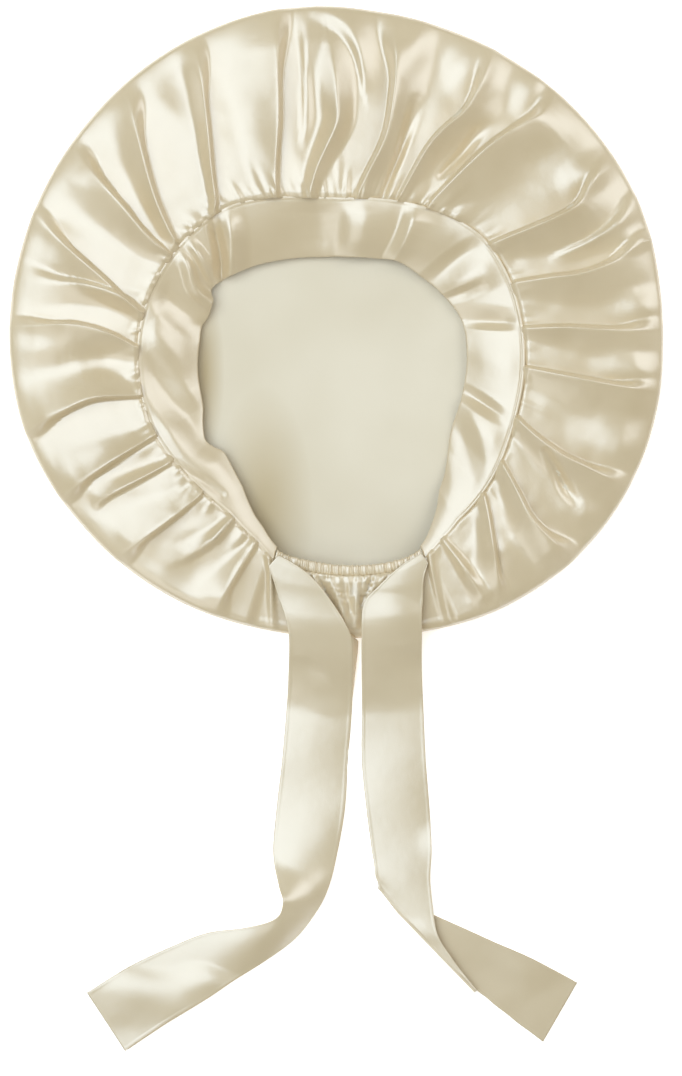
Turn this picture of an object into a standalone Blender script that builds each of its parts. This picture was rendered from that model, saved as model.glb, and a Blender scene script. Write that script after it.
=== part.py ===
"""Satin sleep bonnet, laid on its crown with the face opening up and both ties on the surface.

The crown is one gathered bag: a flat back panel, a rolled rim and a ring that rises to the seam.
A wide band is sewn into the seam round the front of the opening, an elastic casing closes the
nape, and a flat tie leaves each end of the band.  Bearings are degrees about the upright axis
through the crown's middle: 0 is the wearer's right (+X), 90 the forehead (+Y), 270 the nape.
"""

from collections import namedtuple
import math

import bmesh
import bpy
from mathutils import Vector

# Driving sizes, in metres
CROWN_RADIUS = 0.1785
CLOTH_WALL = 0.0018
RIM_HEIGHT = 0.015
SEAM_HEIGHT = 0.023
MOUTH_DROP = 0.008
NAPE_HEIGHT = 0.018
RING_PUFF = 0.003
PLEAT_HEIGHT = 0.0062
PLEAT_STEEP_RUN = 0.0042
GATHER_DEPTH = 0.0011
BAND_FULL_WIDTH = 0.030
BAND_CROWNING = 0.0016
BAND_DENT_DEPTH = 0.0042
WELT_WIDTH = 0.0027
WELT_HEIGHT = 0.0010
CASING_THICKNESS = 0.0044
CASING_GATHER_DEPTH = 0.0005
TIE_WIDTH = 0.0396
TIE_LENGTH = 0.300
TIE_WALL = 0.0010
TIE_FOLD_RADIUS = 0.0017
TIE_DRAPE_RUN = 0.030
SEAM_GAP = 0.0003
TIE_GAP = 0.0008

# Where the band and the nape casing end, as bearings
NAPE_LEFT_BEARING = 255.0
NAPE_RIGHT_BEARING = 290.2
NAPE_BLEND = 34.0
PRESS_MARGIN = 2.5
PRESS_BLEND = 4.0

# How the ring falls and its pleats and gathers come and go, as shares of the way out
RING_SAG_POWER = 1.25
RING_PUFF_POWER = 0.8
RING_PUFF_BLEND = 20.0
GATHER_REACH = 0.4
PLEAT_SHARPNESS = 1.5
PLEAT_AT_SEAM = 0.55
PLEAT_GROWN = 0.25
PUFF_GROWN = 0.35
PLEAT_FADES_FROM = 0.45

# Fineness of the faceted cloth
SEAM_COLUMN_STEP = 3.9
RIM_COLUMN_STEP = 3.5
NAPE_COLUMN_STEP = 0.88
RING_LEVELS = (0.0, 0.09, 0.21, 0.37, 0.56, 0.77, 1.0)
ROLL_ANGLES = (38.0, -20.0, -90.0)
BACK_PANEL_LEVELS = (0.55, 0.16)
CASING_SIDES = 8
TIE_STEPS_ACROSS = 4
TIE_STEPS_ALONG = 2
TURN_STEPS = 6

# The opening, as shares of the crown's radius: the seam line and the free edge inside it
Opening = namedtuple("Opening", "bearing seam mouth")
OPENING = (
    Opening(0, 0.569, 0.387),
    Opening(15, 0.545, 0.333),
    Opening(30, 0.518, 0.287),
    Opening(45, 0.468, 0.260),
    Opening(60, 0.424, 0.228),
    Opening(75, 0.394, 0.209),
    Opening(90, 0.381, 0.204),
    Opening(105, 0.397, 0.209),
    Opening(120, 0.440, 0.230),
    Opening(135, 0.492, 0.266),
    Opening(150, 0.530, 0.322),
    Opening(165, 0.567, 0.376),
    Opening(180, 0.606, 0.410),
    Opening(195, 0.636, 0.448),
    Opening(210, 0.660, 0.490),
    Opening(225, 0.666, 0.543),
    Opening(240, 0.682, 0.602),
    Opening(250, 0.727, 0.675),
    Opening(256, 0.768, 0.728),
    Opening(263, 0.778, 0.738),
    Opening(272, 0.786, 0.749),
    Opening(284, 0.791, 0.755),
    Opening(290, 0.778, 0.742),
    Opening(295, 0.750, 0.690),
    Opening(301, 0.720, 0.610),
    Opening(315, 0.680, 0.495),
    Opening(330, 0.630, 0.448),
    Opening(345, 0.597, 0.416),
)

# The outline of the rolled rim, as shares of the crown's radius
Rim = namedtuple("Rim", "bearing reach")
RIM = (
    Rim(0, 1.003),
    Rim(20, 1.000),
    Rim(40, 0.985),
    Rim(60, 0.968),
    Rim(80, 0.965),
    Rim(100, 0.980),
    Rim(120, 0.985),
    Rim(140, 0.987),
    Rim(160, 0.997),
    Rim(180, 1.012),
    Rim(200, 1.022),
    Rim(220, 1.007),
    Rim(240, 0.992),
    Rim(260, 0.975),
    Rim(280, 0.984),
    Rim(300, 1.020),
    Rim(320, 1.037),
    Rim(340, 1.027),
)

# Pleats of the ring: a crest runs from the seam bearing to the rim bearing, between the start and
# the reach (shares of the way out).  Lean +1 is steep on the side of the larger bearing, -1 on the
# other; the gentle side is as wide as the spread (degrees).  A negative height is a crease.
Pleat = namedtuple("Pleat", "seam_bearing rim_bearing start reach height lean spread")
PLEATS = (
    Pleat(12.0, 14.4, 0.0, 1.00, 0.9, 1, 10),
    Pleat(26.6, 28.7, 0.0, 0.95, 1.0, 1, 11),
    Pleat(51.7, 45.0, 0.0, 1.00, 1.1, 1, 16),
    Pleat(57.0, 53.3, 0.1, 0.60, -0.5, -1, 4),
    Pleat(63.3, 59.0, 0.0, 1.00, 1.0, 1, 8),
    Pleat(70.2, 70.4, 0.0, 0.60, -0.6, 1, 5),
    Pleat(80.6, 78.0, 0.0, 1.00, 1.1, 1, 8),
    Pleat(102.5, 90.5, 0.0, 0.80, 1.0, -1, 9),
    Pleat(116.0, 101.0, 0.0, 1.00, 1.1, -1, 14),
    Pleat(137.0, 117.5, 0.0, 0.95, 0.9, -1, 5),
    Pleat(150.0, 132.5, 0.0, 0.95, 0.8, -1, 7),
    Pleat(158.3, 146.5, 0.0, 0.95, 1.0, -1, 9),
    Pleat(174.0, 160.0, 0.0, 0.95, 0.8, -1, 8),
    Pleat(179.5, 171.5, 0.0, 0.90, 0.7, -1, 5),
    Pleat(187.6, 181.0, 0.0, 1.00, 1.0, -1, 10),
    Pleat(200.7, 198.0, 0.0, 1.00, 1.0, 1, 10),
    Pleat(212.0, 212.0, 0.0, 1.00, 0.9, 1, 8),
    Pleat(220.2, 217.5, 0.0, 0.75, 0.6, 1, 4),
    Pleat(231.7, 226.5, 0.0, 1.00, 0.9, 1, 9),
    Pleat(242.0, 237.0, 0.0, 0.50, 0.6, 1, 5),
    Pleat(250.0, 247.0, 0.0, 0.95, 0.6, 1, 6),
    Pleat(295.7, 296.5, 0.0, 0.80, 0.8, 1, 3),
    Pleat(309.0, 300.0, 0.0, 0.90, 0.8, 1, 6),
    Pleat(319.2, 314.8, 0.0, 0.95, 0.9, 1, 7),
    Pleat(331.5, 330.0, 0.0, 0.90, 1.0, 1, 9),
    Pleat(346.0, 347.3, 0.0, 1.00, 1.0, 1, 12),
    Pleat(357.7, 358.4, 0.0, 0.95, 1.0, 1, 9),
)

# Short ridges that start part of the way out, near the rim
RIM_PUFFS = (
    Pleat(6.0, 24.0, 0.45, 1.10, 0.6, -1, 6),
    Pleat(76.0, 93.0, 0.30, 1.05, 0.5, 1, 6),
    Pleat(105.0, 96.5, 0.40, 1.05, 0.4, -1, 3),
    Pleat(330.0, 322.0, 0.30, 0.70, -0.5, 1, 5),
)

# Dents (negative) and ridges (positive) across the band; the lean is the turn in degrees that the
# line makes from the seam to the free edge
Dent = namedtuple("Dent", "bearing spread height lean")
BAND_DENTS = (
    Dent(-45, 7, -0.8, 6),
    Dent(-31, 5, -0.6, 0),
    Dent(-15, 9, 0.4, 0),
    Dent(-1, 5, -0.8, 0),
    Dent(18, 9, 0.7, -4),
    Dent(38, 9, -1.0, 6),
    Dent(54, 7, 0.9, 4),
    Dent(86, 11, -0.7, 0),
    Dent(126, 10, 0.7, 6),
    Dent(145, 4, 0.6, 4),
    Dent(153, 4, -0.9, 4),
    Dent(164, 4, 0.7, 6),
    Dent(176, 6, -0.7, 0),
    Dent(190, 6, 0.5, 8),
    Dent(206, 6, -0.8, 12),
    Dent(227, 8, 0.7, 8),
    Dent(242, 5, -0.4, 6),
)

# The band's section from the seam in to the free edge
Across = namedtuple("Across", "share welt")
BAND_ACROSS = (
    Across(0.0, 0.0),
    Across(0.5, 1.0),
    Across(1.0, 0.0),
)
BAND_FACE_SHARES = (0.34, 0.68, 1.0)
WELT_MOST_SHARE = 0.3

# A dent keeps its form from the first share to the seam and from the second to the free edge
BAND_DENT_HOLD = (0.2, 0.75)

# Sections of each tie.  Over the crown the place is a share of the way from the pinch to the rim;
# past it, a share of the tie's length.  The turn is the section's direction in degrees from +X,
# the width a share of the tie's width, and the lifts of the left edge, middle and right edge are
# shares of the tie's width.
Section = namedtuple("Section", "across along turn width left middle right")
LEFT_TIE_OVER_CROWN = (
    Section(0.00, 0.00, 48, 0.20, 0.0, 0.0, 0.0),
    Section(0.25, 0.29, 32, 0.47, 0.0, 0.01, 0.0),
    Section(0.47, 0.62, 8, 0.67, 0.0, 0.02, 0.0),
    Section(0.61, 0.91, 1, 0.80, 0.0, 0.02, 0.0),
    Section(0.67, 1.14, 0, 0.86, 0.0, 0.01, 0.0),
)
LEFT_TIE_ON_SURFACE = (
    Section(0.000, 0.060, -2, 0.88, 0.0, 0.02, 0.0),
    Section(-0.002, 0.124, -3, 0.90, 0.0, 0.03, 0.02),
    Section(-0.010, 0.224, -2, 0.91, 0.02, 0.03, 0.0),
    Section(-0.018, 0.312, -3, 0.94, 0.0, 0.04, 0.03),
    Section(-0.029, 0.398, -6, 0.87, 0.05, 0.09, 0.02),
    Section(-0.031, 0.455, -4, 0.68, 0.16, 0.18, 0.03),
    Section(-0.042, 0.497, -30, 0.46, 0.28, 0.22, 0.03),
    Section(-0.068, 0.534, -60, 0.40, 0.28, 0.20, 0.02),
    Section(-0.122, 0.562, -68, 0.54, 0.15, 0.14, 0.02),
    Section(-0.183, 0.583, -63, 0.75, 0.05, 0.07, 0.02),
    Section(-0.236, 0.610, -61, 0.86, 0.01, 0.03, 0.01),
    Section(-0.318, 0.654, -59, 0.94, 0.0, 0.02, 0.02),
    Section(-0.394, 0.703, -57, 0.97, 0.0, 0.0, 0.0),
)
RIGHT_TIE_OVER_CROWN = (
    Section(0.00, 0.00, -54, 0.16, 0.0, 0.0, 0.0),
    Section(-0.17, 0.20, -32, 0.37, 0.0, 0.01, 0.0),
    Section(-0.33, 0.48, -17, 0.65, 0.0, 0.02, 0.0),
    Section(-0.44, 0.70, -10, 0.82, 0.0, 0.02, 0.0),
    Section(-0.45, 1.08, -2, 0.84, 0.0, 0.01, 0.0),
)
RIGHT_TIE_ON_SURFACE = (
    Section(0.000, 0.060, 0, 0.84, 0.0, 0.02, 0.0),
    Section(0.002, 0.139, 0, 0.86, 0.02, 0.02, 0.0),
    Section(0.004, 0.228, 0, 0.89, 0.0, 0.03, 0.02),
    Section(0.012, 0.320, -1, 0.88, 0.02, 0.03, 0.0),
    Section(0.018, 0.388, -2, 0.84, 0.03, 0.04, 0.03),
    Section(0.020, 0.440, -18, 0.82, 0.05, 0.07, 0.06),
    Section(0.027, 0.492, -40, 1.08, 0.08, 0.09, 0.10),
    Section(0.043, 0.523, -45, 1.45, 0.08, 0.09, 0.10),
)
# The line that the right tie turns under along, then the part that runs on below it
RIGHT_TIE_CREASE = Section(0.066, 0.556, -46, 1.98, 0.0, 0.0, 0.0)
RIGHT_TIE_TURNED_UNDER = (
    Section(0.127, 0.589, -57, 1.40, 0.0, 0.0, 0.0),
    Section(0.193, 0.624, -78, 1.03, 0.01, 0.02, 0.01),
    Section(0.256, 0.658, -104, 0.93, 0.02, 0.03, 0.0),
    Section(0.310, 0.691, -120, 0.95, 0.0, 0.01, 0.0),
)

SATIN_IVORY = (0.80, 0.74, 0.60)
SATIN_CREAM = (0.84, 0.79, 0.66)
ELASTIC_IVORY = (0.72, 0.65, 0.50)


def clamp(value, low=0.0, high=1.0):
    return max(low, min(high, value))


def ease(value):
    """Smooth step from 0 to 1."""
    value = clamp(value)
    return value * value * (3.0 - 2.0 * value)


def spline(before, start, end, after, share):
    """Catmull-Rom value between start and end."""
    pull = (after - 3.0 * end + 3.0 * start - before) * share
    pull = (pull + 2.0 * before - 5.0 * start + 4.0 * end - after) * share
    return start + 0.5 * (pull + end - before) * share


def round_table(rows, field, bearing):
    """Smooth value of one column of a table whose rows go once round the axis."""
    bearing %= 360.0
    count = len(rows)
    place = sum(1 for row in rows if row.bearing <= bearing) - 1
    picked = [rows[(place + step) % count] for step in (-1, 0, 1, 2)]
    gap = (picked[2].bearing - picked[1].bearing) % 360.0
    share = ((bearing - picked[1].bearing) % 360.0) / gap
    return spline(*[getattr(row, field) for row in picked], share)


def angle_between(first, second):
    """Signed difference of two bearings, from -180 to 180."""
    return (first - second + 180.0) % 360.0 - 180.0


def seam_radius(bearing):
    return CROWN_RADIUS * round_table(OPENING, "seam", bearing)


def mouth_radius(bearing):
    return CROWN_RADIUS * round_table(OPENING, "mouth", bearing)


def rim_radius(bearing):
    return CROWN_RADIUS * round_table(RIM, "reach", bearing)


def nape_share(bearing, blend, margin=0.0):
    """1 along the nape casing and its margin, falling to 0 over the blend on either side."""
    middle = 0.5 * (NAPE_LEFT_BEARING + NAPE_RIGHT_BEARING)
    half = 0.5 * (NAPE_RIGHT_BEARING - NAPE_LEFT_BEARING) + margin
    return 1.0 - ease((abs(angle_between(bearing, middle)) - half) / blend)


def seam_lift(bearing):
    """Height of the seam line, which is lower along the nape."""
    return SEAM_HEIGHT + (NAPE_HEIGHT - SEAM_HEIGHT) * nape_share(bearing, NAPE_BLEND)


def ring_lift(bearing, out):
    """Height of the ring without its pleats; out is 0 at the seam and 1 at the rolled rim."""
    fall = (seam_lift(bearing) - RIM_HEIGHT) * (1.0 - out) ** RING_SAG_POWER
    puff = RING_PUFF * max(math.sin(math.pi * out), 0.0) ** RING_PUFF_POWER
    return RIM_HEIGHT + fall + puff * (1.0 - nape_share(bearing, RING_PUFF_BLEND))


def pleat_lift(pleat, bearing, out, radius):
    """Height that one pleat adds at a point of the ring."""
    along = (out - pleat.start) / (pleat.reach - pleat.start)
    if along < 0.0 or along > 1.0:
        return 0.0
    crest = pleat.seam_bearing + angle_between(pleat.rim_bearing, pleat.seam_bearing) * out
    side = angle_between(bearing, crest) * pleat.lean
    steep_degrees = math.degrees(PLEAT_STEEP_RUN / radius)
    width = steep_degrees if side > 0.0 else pleat.spread
    nearness = clamp(1.0 - abs(side) / width)
    if pleat.start == 0.0:
        grow = PLEAT_AT_SEAM + (1.0 - PLEAT_AT_SEAM) * ease(along / PLEAT_GROWN)
    else:
        grow = ease(along / PUFF_GROWN)
    fade = 1.0 - ease((along - PLEAT_FADES_FROM) / (1.0 - PLEAT_FADES_FROM))
    return PLEAT_HEIGHT * pleat.height * nearness ** PLEAT_SHARPNESS * grow * fade


def ring_relief(bearing, out, radius):
    """Height of all pleats at a point, pressed down where the ties lie."""
    total = sum(pleat_lift(pleat, bearing, out, radius) for pleat in PLEATS + RIM_PUFFS)
    return total * (1.0 - nape_share(bearing, PRESS_BLEND, PRESS_MARGIN))


def ring_columns():
    """Columns of the ring as (seam bearing, rim bearing, gather sign), crests on columns."""
    columns = []
    middle = 0.5 * (NAPE_LEFT_BEARING + NAPE_RIGHT_BEARING)
    stops = sorted((pleat.seam_bearing, pleat.rim_bearing) for pleat in PLEATS)
    stops += [(NAPE_LEFT_BEARING, NAPE_LEFT_BEARING), (middle, middle)]
    stops = sorted(stops + [(NAPE_RIGHT_BEARING, NAPE_RIGHT_BEARING)])
    for start, end in zip(stops, stops[1:] + stops[:1]):
        seam_gap = angle_between(end[0], start[0])
        rim_gap = angle_between(end[1], start[1])
        in_nape = nape_share(start[0] + 0.5 * seam_gap, PRESS_BLEND) > 0.9
        step = NAPE_COLUMN_STEP if in_nape else SEAM_COLUMN_STEP
        count = math.ceil(max(seam_gap / step, rim_gap / RIM_COLUMN_STEP))
        for number in range(count):
            share = number / count
            sign = 0.0 if number == 0 and not in_nape else (-1.0) ** number
            columns.append((start[0] + seam_gap * share, start[1] + rim_gap * share, sign))
    return columns


def seam_bearings(start, end):
    """Bearings of the crown's columns at the seam, counted up from start to end."""
    sweep = (end - start) % 360.0
    inner = sorted((column[0] - start) % 360.0 for column in ring_columns())
    margin = 0.5 * NAPE_COLUMN_STEP
    inner = [turn for turn in inner if margin < turn < sweep - margin]
    return [start + turn for turn in [0.0] + inner + [sweep]]


def polar(bearing, radius, height):
    turn = math.radians(bearing)
    return Vector((radius * math.cos(turn), radius * math.sin(turn), height))


def ring_loop(columns, out, inset):
    """One loop of the ring, inset from the outer face by the wall."""
    loop = []
    for seam_bearing, rim_bearing, sign in columns:
        bearing = seam_bearing + angle_between(rim_bearing, seam_bearing) * out
        inner = seam_radius(seam_bearing)
        outer = rim_radius(rim_bearing) - 0.5 * RIM_HEIGHT
        radius = inner + (outer - inner) * out
        gather = sign * GATHER_DEPTH * (1.0 - ease(out / GATHER_REACH))
        height = ring_lift(bearing, out) + ring_relief(bearing, out, radius) + gather
        loop.append(polar(bearing, radius, height - inset))
    return loop


def roll_loop(columns, angle, inset):
    """One loop round the rolled rim."""
    half = 0.5 * RIM_HEIGHT
    turn = math.radians(angle)
    loop = []
    for _, bearing, _ in columns:
        radius = rim_radius(bearing) - half + (half - inset) * math.cos(turn)
        loop.append(polar(bearing, radius, half + (half - inset) * math.sin(turn)))
    return loop


def back_panel_loop(columns, share, inset):
    """One loop of the flat back panel, which lies on the surface."""
    return [
        polar(bearing, (rim_radius(bearing) - 0.5 * RIM_HEIGHT) * share, inset)
        for _, bearing, _ in columns
    ]


def bag_loops(columns, inset):
    loops = [ring_loop(columns, level, inset) for level in RING_LEVELS]
    loops += [roll_loop(columns, angle, inset) for angle in ROLL_ANGLES]
    loops += [back_panel_loop(columns, level, inset) for level in BACK_PANEL_LEVELS]
    return loops


def add_loop(bm, points):
    return [bm.verts.new(point) for point in points]


def bridge(bm, first, second, closed=True):
    """Quads between two loops of the same length."""
    count = len(first)
    for number in range(count if closed else count - 1):
        after = (number + 1) % count
        bm.faces.new((first[number], first[after], second[after], second[number]))


def finish(name, bm, color, roughness):
    """Turn a bmesh into a named object with its own material."""
    bmesh.ops.recalc_face_normals(bm, faces=bm.faces[:])
    mesh = bpy.data.meshes.new(name)
    bm.to_mesh(mesh)
    bm.free()
    mesh.shade_smooth()
    material = bpy.data.materials.new(name + "_satin")
    material.use_nodes = True
    shader = material.node_tree.nodes["Principled BSDF"]
    shader.inputs["Base Color"].default_value = (*color, 1.0)
    shader.inputs["Roughness"].default_value = roughness
    shader.inputs["Metallic"].default_value = 0.0
    mesh.materials.append(material)
    thing = bpy.data.objects.new(name, mesh)
    bpy.context.scene.collection.objects.link(thing)
    return thing


def build_crown():
    """The gathered bag: outer face, inner face and the raw edge at the seam."""
    bm = bmesh.new()
    columns = ring_columns()
    edges = []
    for inset in (0.0, CLOTH_WALL):
        loops = [add_loop(bm, points) for points in bag_loops(columns, inset)]
        for first, second in zip(loops, loops[1:]):
            bridge(bm, first, second)
        hub = bm.verts.new((0.0, 0.0, inset))
        for number, corner in enumerate(loops[-1]):
            bm.faces.new((corner, loops[-1][(number + 1) % len(columns)], hub))
        edges.append(loops[0])
    bridge(bm, *edges)
    return finish("crown", bm, SATIN_IVORY, 0.35)


def dent_lift(dent, bearing, inward):
    """Height that one dent or ridge adds to the band."""
    line = dent.bearing + dent.lean * (inward - 0.5)
    nearness = clamp(1.0 - abs(angle_between(bearing, line)) / dent.spread)
    across = math.sin(math.pi * clamp(inward, *BAND_DENT_HOLD))
    return BAND_DENT_DEPTH * dent.height * ease(nearness) * across


def band_height(bearing, inward):
    """Height of the band's face; inward is 0 at the seam and 1 at the free edge."""
    narrow = clamp((seam_radius(bearing) - mouth_radius(bearing)) / BAND_FULL_WIDTH)
    height = seam_lift(bearing) - MOUTH_DROP * narrow * inward
    height += BAND_CROWNING * math.sin(math.pi * inward) * narrow
    return height + narrow * sum(dent_lift(dent, bearing, inward) for dent in BAND_DENTS)


def band_row(bearing):
    """Points across the band's face at one bearing, welt first."""
    outer = seam_radius(bearing) - SEAM_GAP
    inner = mouth_radius(bearing)
    reach = outer - inner
    welt_share = clamp(WELT_WIDTH / reach, 0.0, WELT_MOST_SHARE)
    row = []
    for across in BAND_ACROSS:
        inward = across.share * welt_share
        height = band_height(bearing, inward) + across.welt * WELT_HEIGHT
        row.append(polar(bearing, outer - reach * inward, height))
    for share in BAND_FACE_SHARES:
        inward = welt_share + (1.0 - welt_share) * share
        row.append(polar(bearing, outer - reach * inward, band_height(bearing, inward)))
    return row


def build_band():
    """The wide front band, from the right pinch over the forehead to the left pinch."""
    bm = bmesh.new()
    drop = Vector((0.0, 0.0, CLOTH_WALL))
    sections = []
    for bearing in seam_bearings(NAPE_RIGHT_BEARING, NAPE_LEFT_BEARING):
        face = band_row(bearing)
        sections.append(add_loop(bm, face + [point - drop for point in reversed(face)]))
    for first, second in zip(sections, sections[1:]):
        bridge(bm, first, second)
    for end in (sections[0], sections[-1]):
        half = len(end) // 2
        for number in range(half - 1):
            bm.faces.new((end[number], end[number + 1], end[-number - 2], end[-number - 1]))
    return finish("band", bm, SATIN_CREAM, 0.32)


def build_nape_casing():
    """The elastic casing: a flat gathered tube between the two pinches."""
    bm = bmesh.new()
    margin = math.degrees(SEAM_GAP / mouth_radius(NAPE_LEFT_BEARING))
    bearings = seam_bearings(NAPE_LEFT_BEARING, NAPE_RIGHT_BEARING)
    bearings[0] += margin
    bearings[-1] -= margin
    sections = []
    for number, bearing in enumerate(bearings):
        swell = CASING_GATHER_DEPTH * (-1.0) ** number
        outer = seam_radius(bearing) - SEAM_GAP
        inner = mouth_radius(bearing)
        half_width = 0.5 * (outer - inner) - CASING_GATHER_DEPTH
        half_thickness = 0.5 * CASING_THICKNESS - CASING_GATHER_DEPTH
        loop = []
        for side in range(CASING_SIDES):
            turn = 2.0 * math.pi * (side + 0.5) / CASING_SIDES
            radius = 0.5 * (outer + inner) + (half_width + swell) * math.cos(turn)
            height = NAPE_HEIGHT - 0.5 * CASING_THICKNESS + (half_thickness + swell) * math.sin(turn)
            loop.append(polar(bearing, radius, height))
        sections.append(add_loop(bm, loop))
    for first, second in zip(sections, sections[1:]):
        bridge(bm, first, second)
    for end in (sections[0], sections[-1]):
        bm.faces.new(end)
    return finish("nape_casing", bm, ELASTIC_IVORY, 0.45)


def drape_height(point):
    """Height of a tie's middle layer where it lies over the crown, its rim or the surface."""
    radius = point.length
    bearing = math.degrees(math.atan2(point.y, point.x))
    seam = seam_radius(bearing)
    rim_top = rim_radius(bearing) - 0.5 * RIM_HEIGHT
    rest = 0.5 * TIE_WALL
    if radius < rim_top:
        out = clamp((radius - seam) / (rim_top - seam))
        ridges = max(WELT_HEIGHT, GATHER_DEPTH) * (1.0 - ease(out / GATHER_REACH - 0.5))
        return ring_lift(bearing, out) + ridges + TIE_GAP + rest
    fall = (radius - rim_top) / (0.5 * RIM_HEIGHT + TIE_DRAPE_RUN)
    return rest + (RIM_HEIGHT + TIE_GAP) * (1.0 - ease(fall))


def place_rows(rows, corner, reach):
    """Sections with their places in metres: shares of a reach from a corner."""
    return [
        row._replace(across=corner[0] + row.across * reach, along=corner[1] - row.along * reach)
        for row in rows
    ]


def smooth_rows(rows):
    """Extra sections between the rows, on a smooth curve through them."""
    smooth = []
    for number in range(len(rows) - 1):
        before, after = rows[max(number - 1, 0)], rows[min(number + 2, len(rows) - 1)]
        for step in range(TIE_STEPS_ALONG):
            share = step / TIE_STEPS_ALONG
            fields = zip(before, rows[number], rows[number + 1], after)
            smooth.append(Section(*[spline(*values, share) for values in fields]))
    return smooth + [rows[-1]]


def tie_line(row):
    """Points across a tie at one section, left edge to right edge, with their lifts."""
    turn = math.radians(row.turn)
    way = Vector((math.cos(turn), math.sin(turn), 0.0)) * row.width * TIE_WIDTH
    points = []
    for step in range(TIE_STEPS_ACROSS + 1):
        share = step / TIE_STEPS_ACROSS
        point = Vector((row.across, row.along, 0.0)) + way * (share - 0.5)
        bow = 4.0 * share * (1.0 - share)
        edges = row.left * (1.0 - share) + row.right * share
        lift = edges + (row.middle - 0.5 * (row.left + row.right)) * bow
        points.append((point, max(lift, 0.0) * TIE_WIDTH))
    return points


def laid_lines(rows):
    """Lines of points of the sections, laid on what is below them."""
    up = Vector((0.0, 0.0, 1.0))
    return [[point + up * (drape_height(point) + lift) for point, lift in tie_line(row)] for row in rows]


def tie_path(pinch_bearing, over_crown, on_surface):
    """Face-up sections of a tie from its pinch, in metres, and its middle just past the rim."""
    pinch = polar(pinch_bearing, seam_radius(pinch_bearing), 0.0)
    nape_reach = rim_radius(pinch_bearing) - pinch.length
    rows = place_rows(over_crown, pinch, nape_reach)
    past_rim = (rows[-1].across, rows[-1].along)
    return rows + place_rows(on_surface, past_rim, TIE_LENGTH), past_rim


def build_tie(name, lines, color):
    """A tie from its lines of points, as thick as its wall."""
    bm = bmesh.new()
    loops = [add_loop(bm, points) for points in lines]
    for first, second in zip(loops, loops[1:]):
        bridge(bm, first, second, closed=False)
    tie = finish(name, bm, color, 0.32)
    wall = tie.modifiers.new("wall", "SOLIDIFY")
    wall.thickness = TIE_WALL
    wall.offset = 0.0
    return tie


def build_tie_left():
    rows, _ = tie_path(NAPE_LEFT_BEARING, LEFT_TIE_OVER_CROWN, LEFT_TIE_ON_SURFACE)
    return build_tie("tie_left", laid_lines(smooth_rows(rows)), SATIN_CREAM)


def build_tie_right():
    rows, past_rim = tie_path(NAPE_RIGHT_BEARING, RIGHT_TIE_OVER_CROWN, RIGHT_TIE_ON_SURFACE)
    crease = place_rows([RIGHT_TIE_CREASE], past_rim, TIE_LENGTH)[0]
    layer = 2.0 * TIE_FOLD_RADIUS / TIE_WIDTH
    top = crease._replace(left=layer, middle=layer, right=layer)
    lines = laid_lines(smooth_rows(rows + [top]))
    turn = math.radians(crease.turn - 90.0)
    outward = Vector((math.cos(turn), math.sin(turn), 0.0)) * TIE_FOLD_RADIUS
    for step in range(1, TURN_STEPS):
        roll = math.pi * step / TURN_STEPS
        rise = 0.5 * TIE_WALL + TIE_FOLD_RADIUS * (1.0 + math.cos(roll))
        shift = outward * math.sin(roll) + Vector((0.0, 0.0, rise))
        lines.append([point + shift for point, _ in tie_line(crease)])
    under = place_rows(RIGHT_TIE_TURNED_UNDER, past_rim, TIE_LENGTH)
    lines += laid_lines(smooth_rows([crease] + under))
    return build_tie("tie_right", lines, SATIN_CREAM)


for old in list(bpy.data.objects):
    bpy.data.objects.remove(old, do_unlink=True)

build_crown()
build_band()
build_nape_casing()
build_tie_left()
build_tie_right()
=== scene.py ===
"""Satin sleep bonnet lying on its crown: the cloth's folds, gathers, seams and finish."""

import math
from collections import namedtuple

import bpy
import numpy as np
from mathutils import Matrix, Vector


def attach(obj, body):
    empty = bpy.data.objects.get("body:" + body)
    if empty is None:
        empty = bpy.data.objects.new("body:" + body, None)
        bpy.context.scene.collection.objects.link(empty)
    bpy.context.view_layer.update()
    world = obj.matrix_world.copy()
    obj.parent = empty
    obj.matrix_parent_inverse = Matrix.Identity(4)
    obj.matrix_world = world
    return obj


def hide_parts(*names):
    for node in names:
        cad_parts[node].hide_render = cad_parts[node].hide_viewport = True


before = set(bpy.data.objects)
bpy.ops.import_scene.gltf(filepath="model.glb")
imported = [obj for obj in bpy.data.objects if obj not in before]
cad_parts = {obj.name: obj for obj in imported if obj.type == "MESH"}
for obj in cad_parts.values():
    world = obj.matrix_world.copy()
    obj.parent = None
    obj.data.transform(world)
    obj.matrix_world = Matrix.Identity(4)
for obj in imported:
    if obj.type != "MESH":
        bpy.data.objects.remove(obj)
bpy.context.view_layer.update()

MM = 0.001

# Main sizes in metres
CROWN_RADIUS = 0.1785
RIM_HEIGHT = 0.015
SEAM_HEIGHT = 0.023
MOUTH_DROP = 0.010
NAPE_HEIGHT = 0.018
BAND_FULL_WIDTH = 0.030
TIE_WIDTH = 0.0396
TIE_LENGTH = 0.300
PUFF = 0.0030

# Bearings of the two pinches, where the ties start, and the nape's blend, in degrees
NAPE_LEFT = 255.0
NAPE_RIGHT = 290.2
NAPE_BLEND = 34.0

# The ring's fall from seam to rim, its puff and its drop at the rim
SAG_POWER = 1.25
PUFF_POWER = 0.8
PUFF_BLEND = 20.0
EDGE_DROP = 0.0010
EDGE_FROM = 0.90
EDGE_POWER = 2.2

# The rolled rim: its room outside the ring, its bow and the angle that it starts from
RIM_TURN = 0.00155
RIM_BOW = 0.0022
ROLL_FROM = 73
HALF_RIM = 0.5 * RIM_HEIGHT

# Where the roll of the seam shows on the right, in degrees
WELT_MIDDLE = 345.0
WELT_HALF = 35.0
WELT_BLEND = 20.0

# How much higher than in their tables the folds stand
FOLD_GAIN = 1.6
BAND_GAIN = 1.25
NAPE_GAIN = 1.9
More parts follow.
